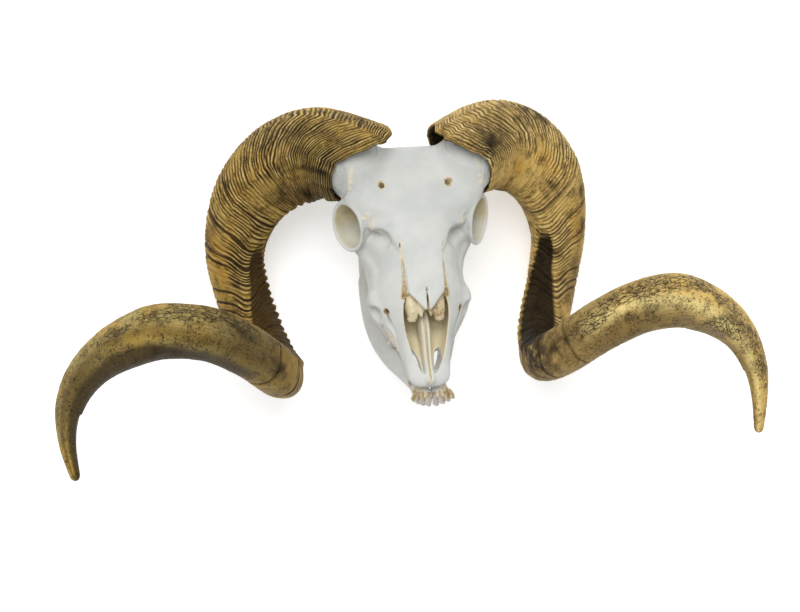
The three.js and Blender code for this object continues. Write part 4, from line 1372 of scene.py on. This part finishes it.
# The camera looks at the face from in front of the crown and a little to the animal's right.
VIEW_FROM = math.radians(38)  # forward of straight above the palate's plane
VIEW_TURN = math.radians(10.2)  # to the animal's right
VIEW_ROLL = math.radians(3.4)
VIEW_DISTANCE = 2200  # mm
VIEW_OFFSET = (-27.3, 71.0)  # mm that the camera stands to the right of the jaw's tip, and above it
MM_PER_PIXEL = 0.91
PICTURE_WIDTH = 800
SENSOR = 36
FLOOR_REACH = 6.0
FLOOR_WHITE = (0.93, 0.93, 0.94)
FLOOR_GLOW = 0.42
SKY_WHITE = (1.0, 1.0, 0.99)
SKY = 0.54
SUN = {"strength": 1.8, "angle": math.radians(34), "from": (-0.05, 0.36, 1.0)}  # right, up, towards


def view_axes():
    """Image right, image up and the direction towards the camera, in the skull's frame."""
    top = np.array([0, -math.sin(VIEW_FROM), math.cos(VIEW_FROM)])
    up = np.array([0, math.cos(VIEW_FROM), math.sin(VIEW_FROM)])
    side = np.array([1.0, 0, 0])
    towards = math.cos(VIEW_TURN) * top - math.sin(VIEW_TURN) * side
    right = math.cos(VIEW_TURN) * side + math.sin(VIEW_TURN) * top
    return (
        math.cos(VIEW_ROLL) * right - math.sin(VIEW_ROLL) * up,
        math.sin(VIEW_ROLL) * right + math.cos(VIEW_ROLL) * up,
        towards,
    )


def turned(vector):
    """A direction of the skull's frame in the row frame."""
    return unit(to_frame([vector])[0] - to_frame([(0, 0, 0)])[0])


def add_object(name, data):
    made = bpy.data.objects.new(name, data)
    bpy.context.scene.collection.objects.link(made)
    return made


def make_camera():
    axes = view_axes()
    at = sum(axis * v for axis, v in zip(axes, (*VIEW_OFFSET, VIEW_DISTANCE)))
    data = bpy.data.cameras.new("camera")
    data.sensor_fit = "HORIZONTAL"
    data.sensor_width = SENSOR
    data.lens = VIEW_DISTANCE / MM_PER_PIXEL * SENSOR / PICTURE_WIDTH
    data.clip_end = 20
    camera = add_object("camera", data)
    columns = [*map(turned, axes), to_frame([at])[0]]
    camera.matrix_world = Matrix([*np.transpose(columns).tolist(), [0, 0, 0, 1]])
    bpy.context.scene.camera = camera


def make_floor():
    mesh = bpy.data.meshes.new("floor")
    corners = [(x * FLOOR_REACH, y * FLOOR_REACH, 0) for x, y in ((-1, -1), (1, -1), (1, 1), (-1, 1))]
    mesh.from_pydata(corners, [], [(0, 1, 2, 3)])
    s = Shader("pale_floor")
    s.feed(s.surface.inputs["Base Color"], FLOOR_WHITE)
    s.feed(s.surface.inputs["Emission Color"], (1, 1, 1))
    s.feed(s.surface.inputs["Emission Strength"], FLOOR_GLOW)
    s.feed(s.surface.inputs["Roughness"], 0.9)
    mesh.materials.append(s.material)
    add_object("floor", mesh)


def make_light():
    world = bpy.data.worlds.new("studio")
    world.use_nodes = True
    sky = world.node_tree.nodes["Background"].inputs
    sky["Color"].default_value = (*SKY_WHITE, 1)
    sky["Strength"].default_value = SKY
    bpy.context.scene.world = world
    light = bpy.data.lights.new("sun", "SUN")
    light.energy = SUN["strength"]
    light.angle = SUN["angle"]
    toward = unit(sum(turned(axis) * v for axis, v in zip(view_axes(), SUN["from"])))
    add_object("sun", light).rotation_euler = Vector(toward).to_track_quat("Z", "Y").to_euler()
    bpy.context.scene.view_settings.view_transform = "Standard"


make_camera()
make_floor()
make_light()
bone = bone_material()
make_cranium(bone)
make_jaws(bone)
make_teeth(tooth_material())
for side, word, own in ((1, "left", LEFT_HORN), (-1, "right", RIGHT_HORN)):
    make_horn(side, word, own, horn_material(word, own["tone"]))
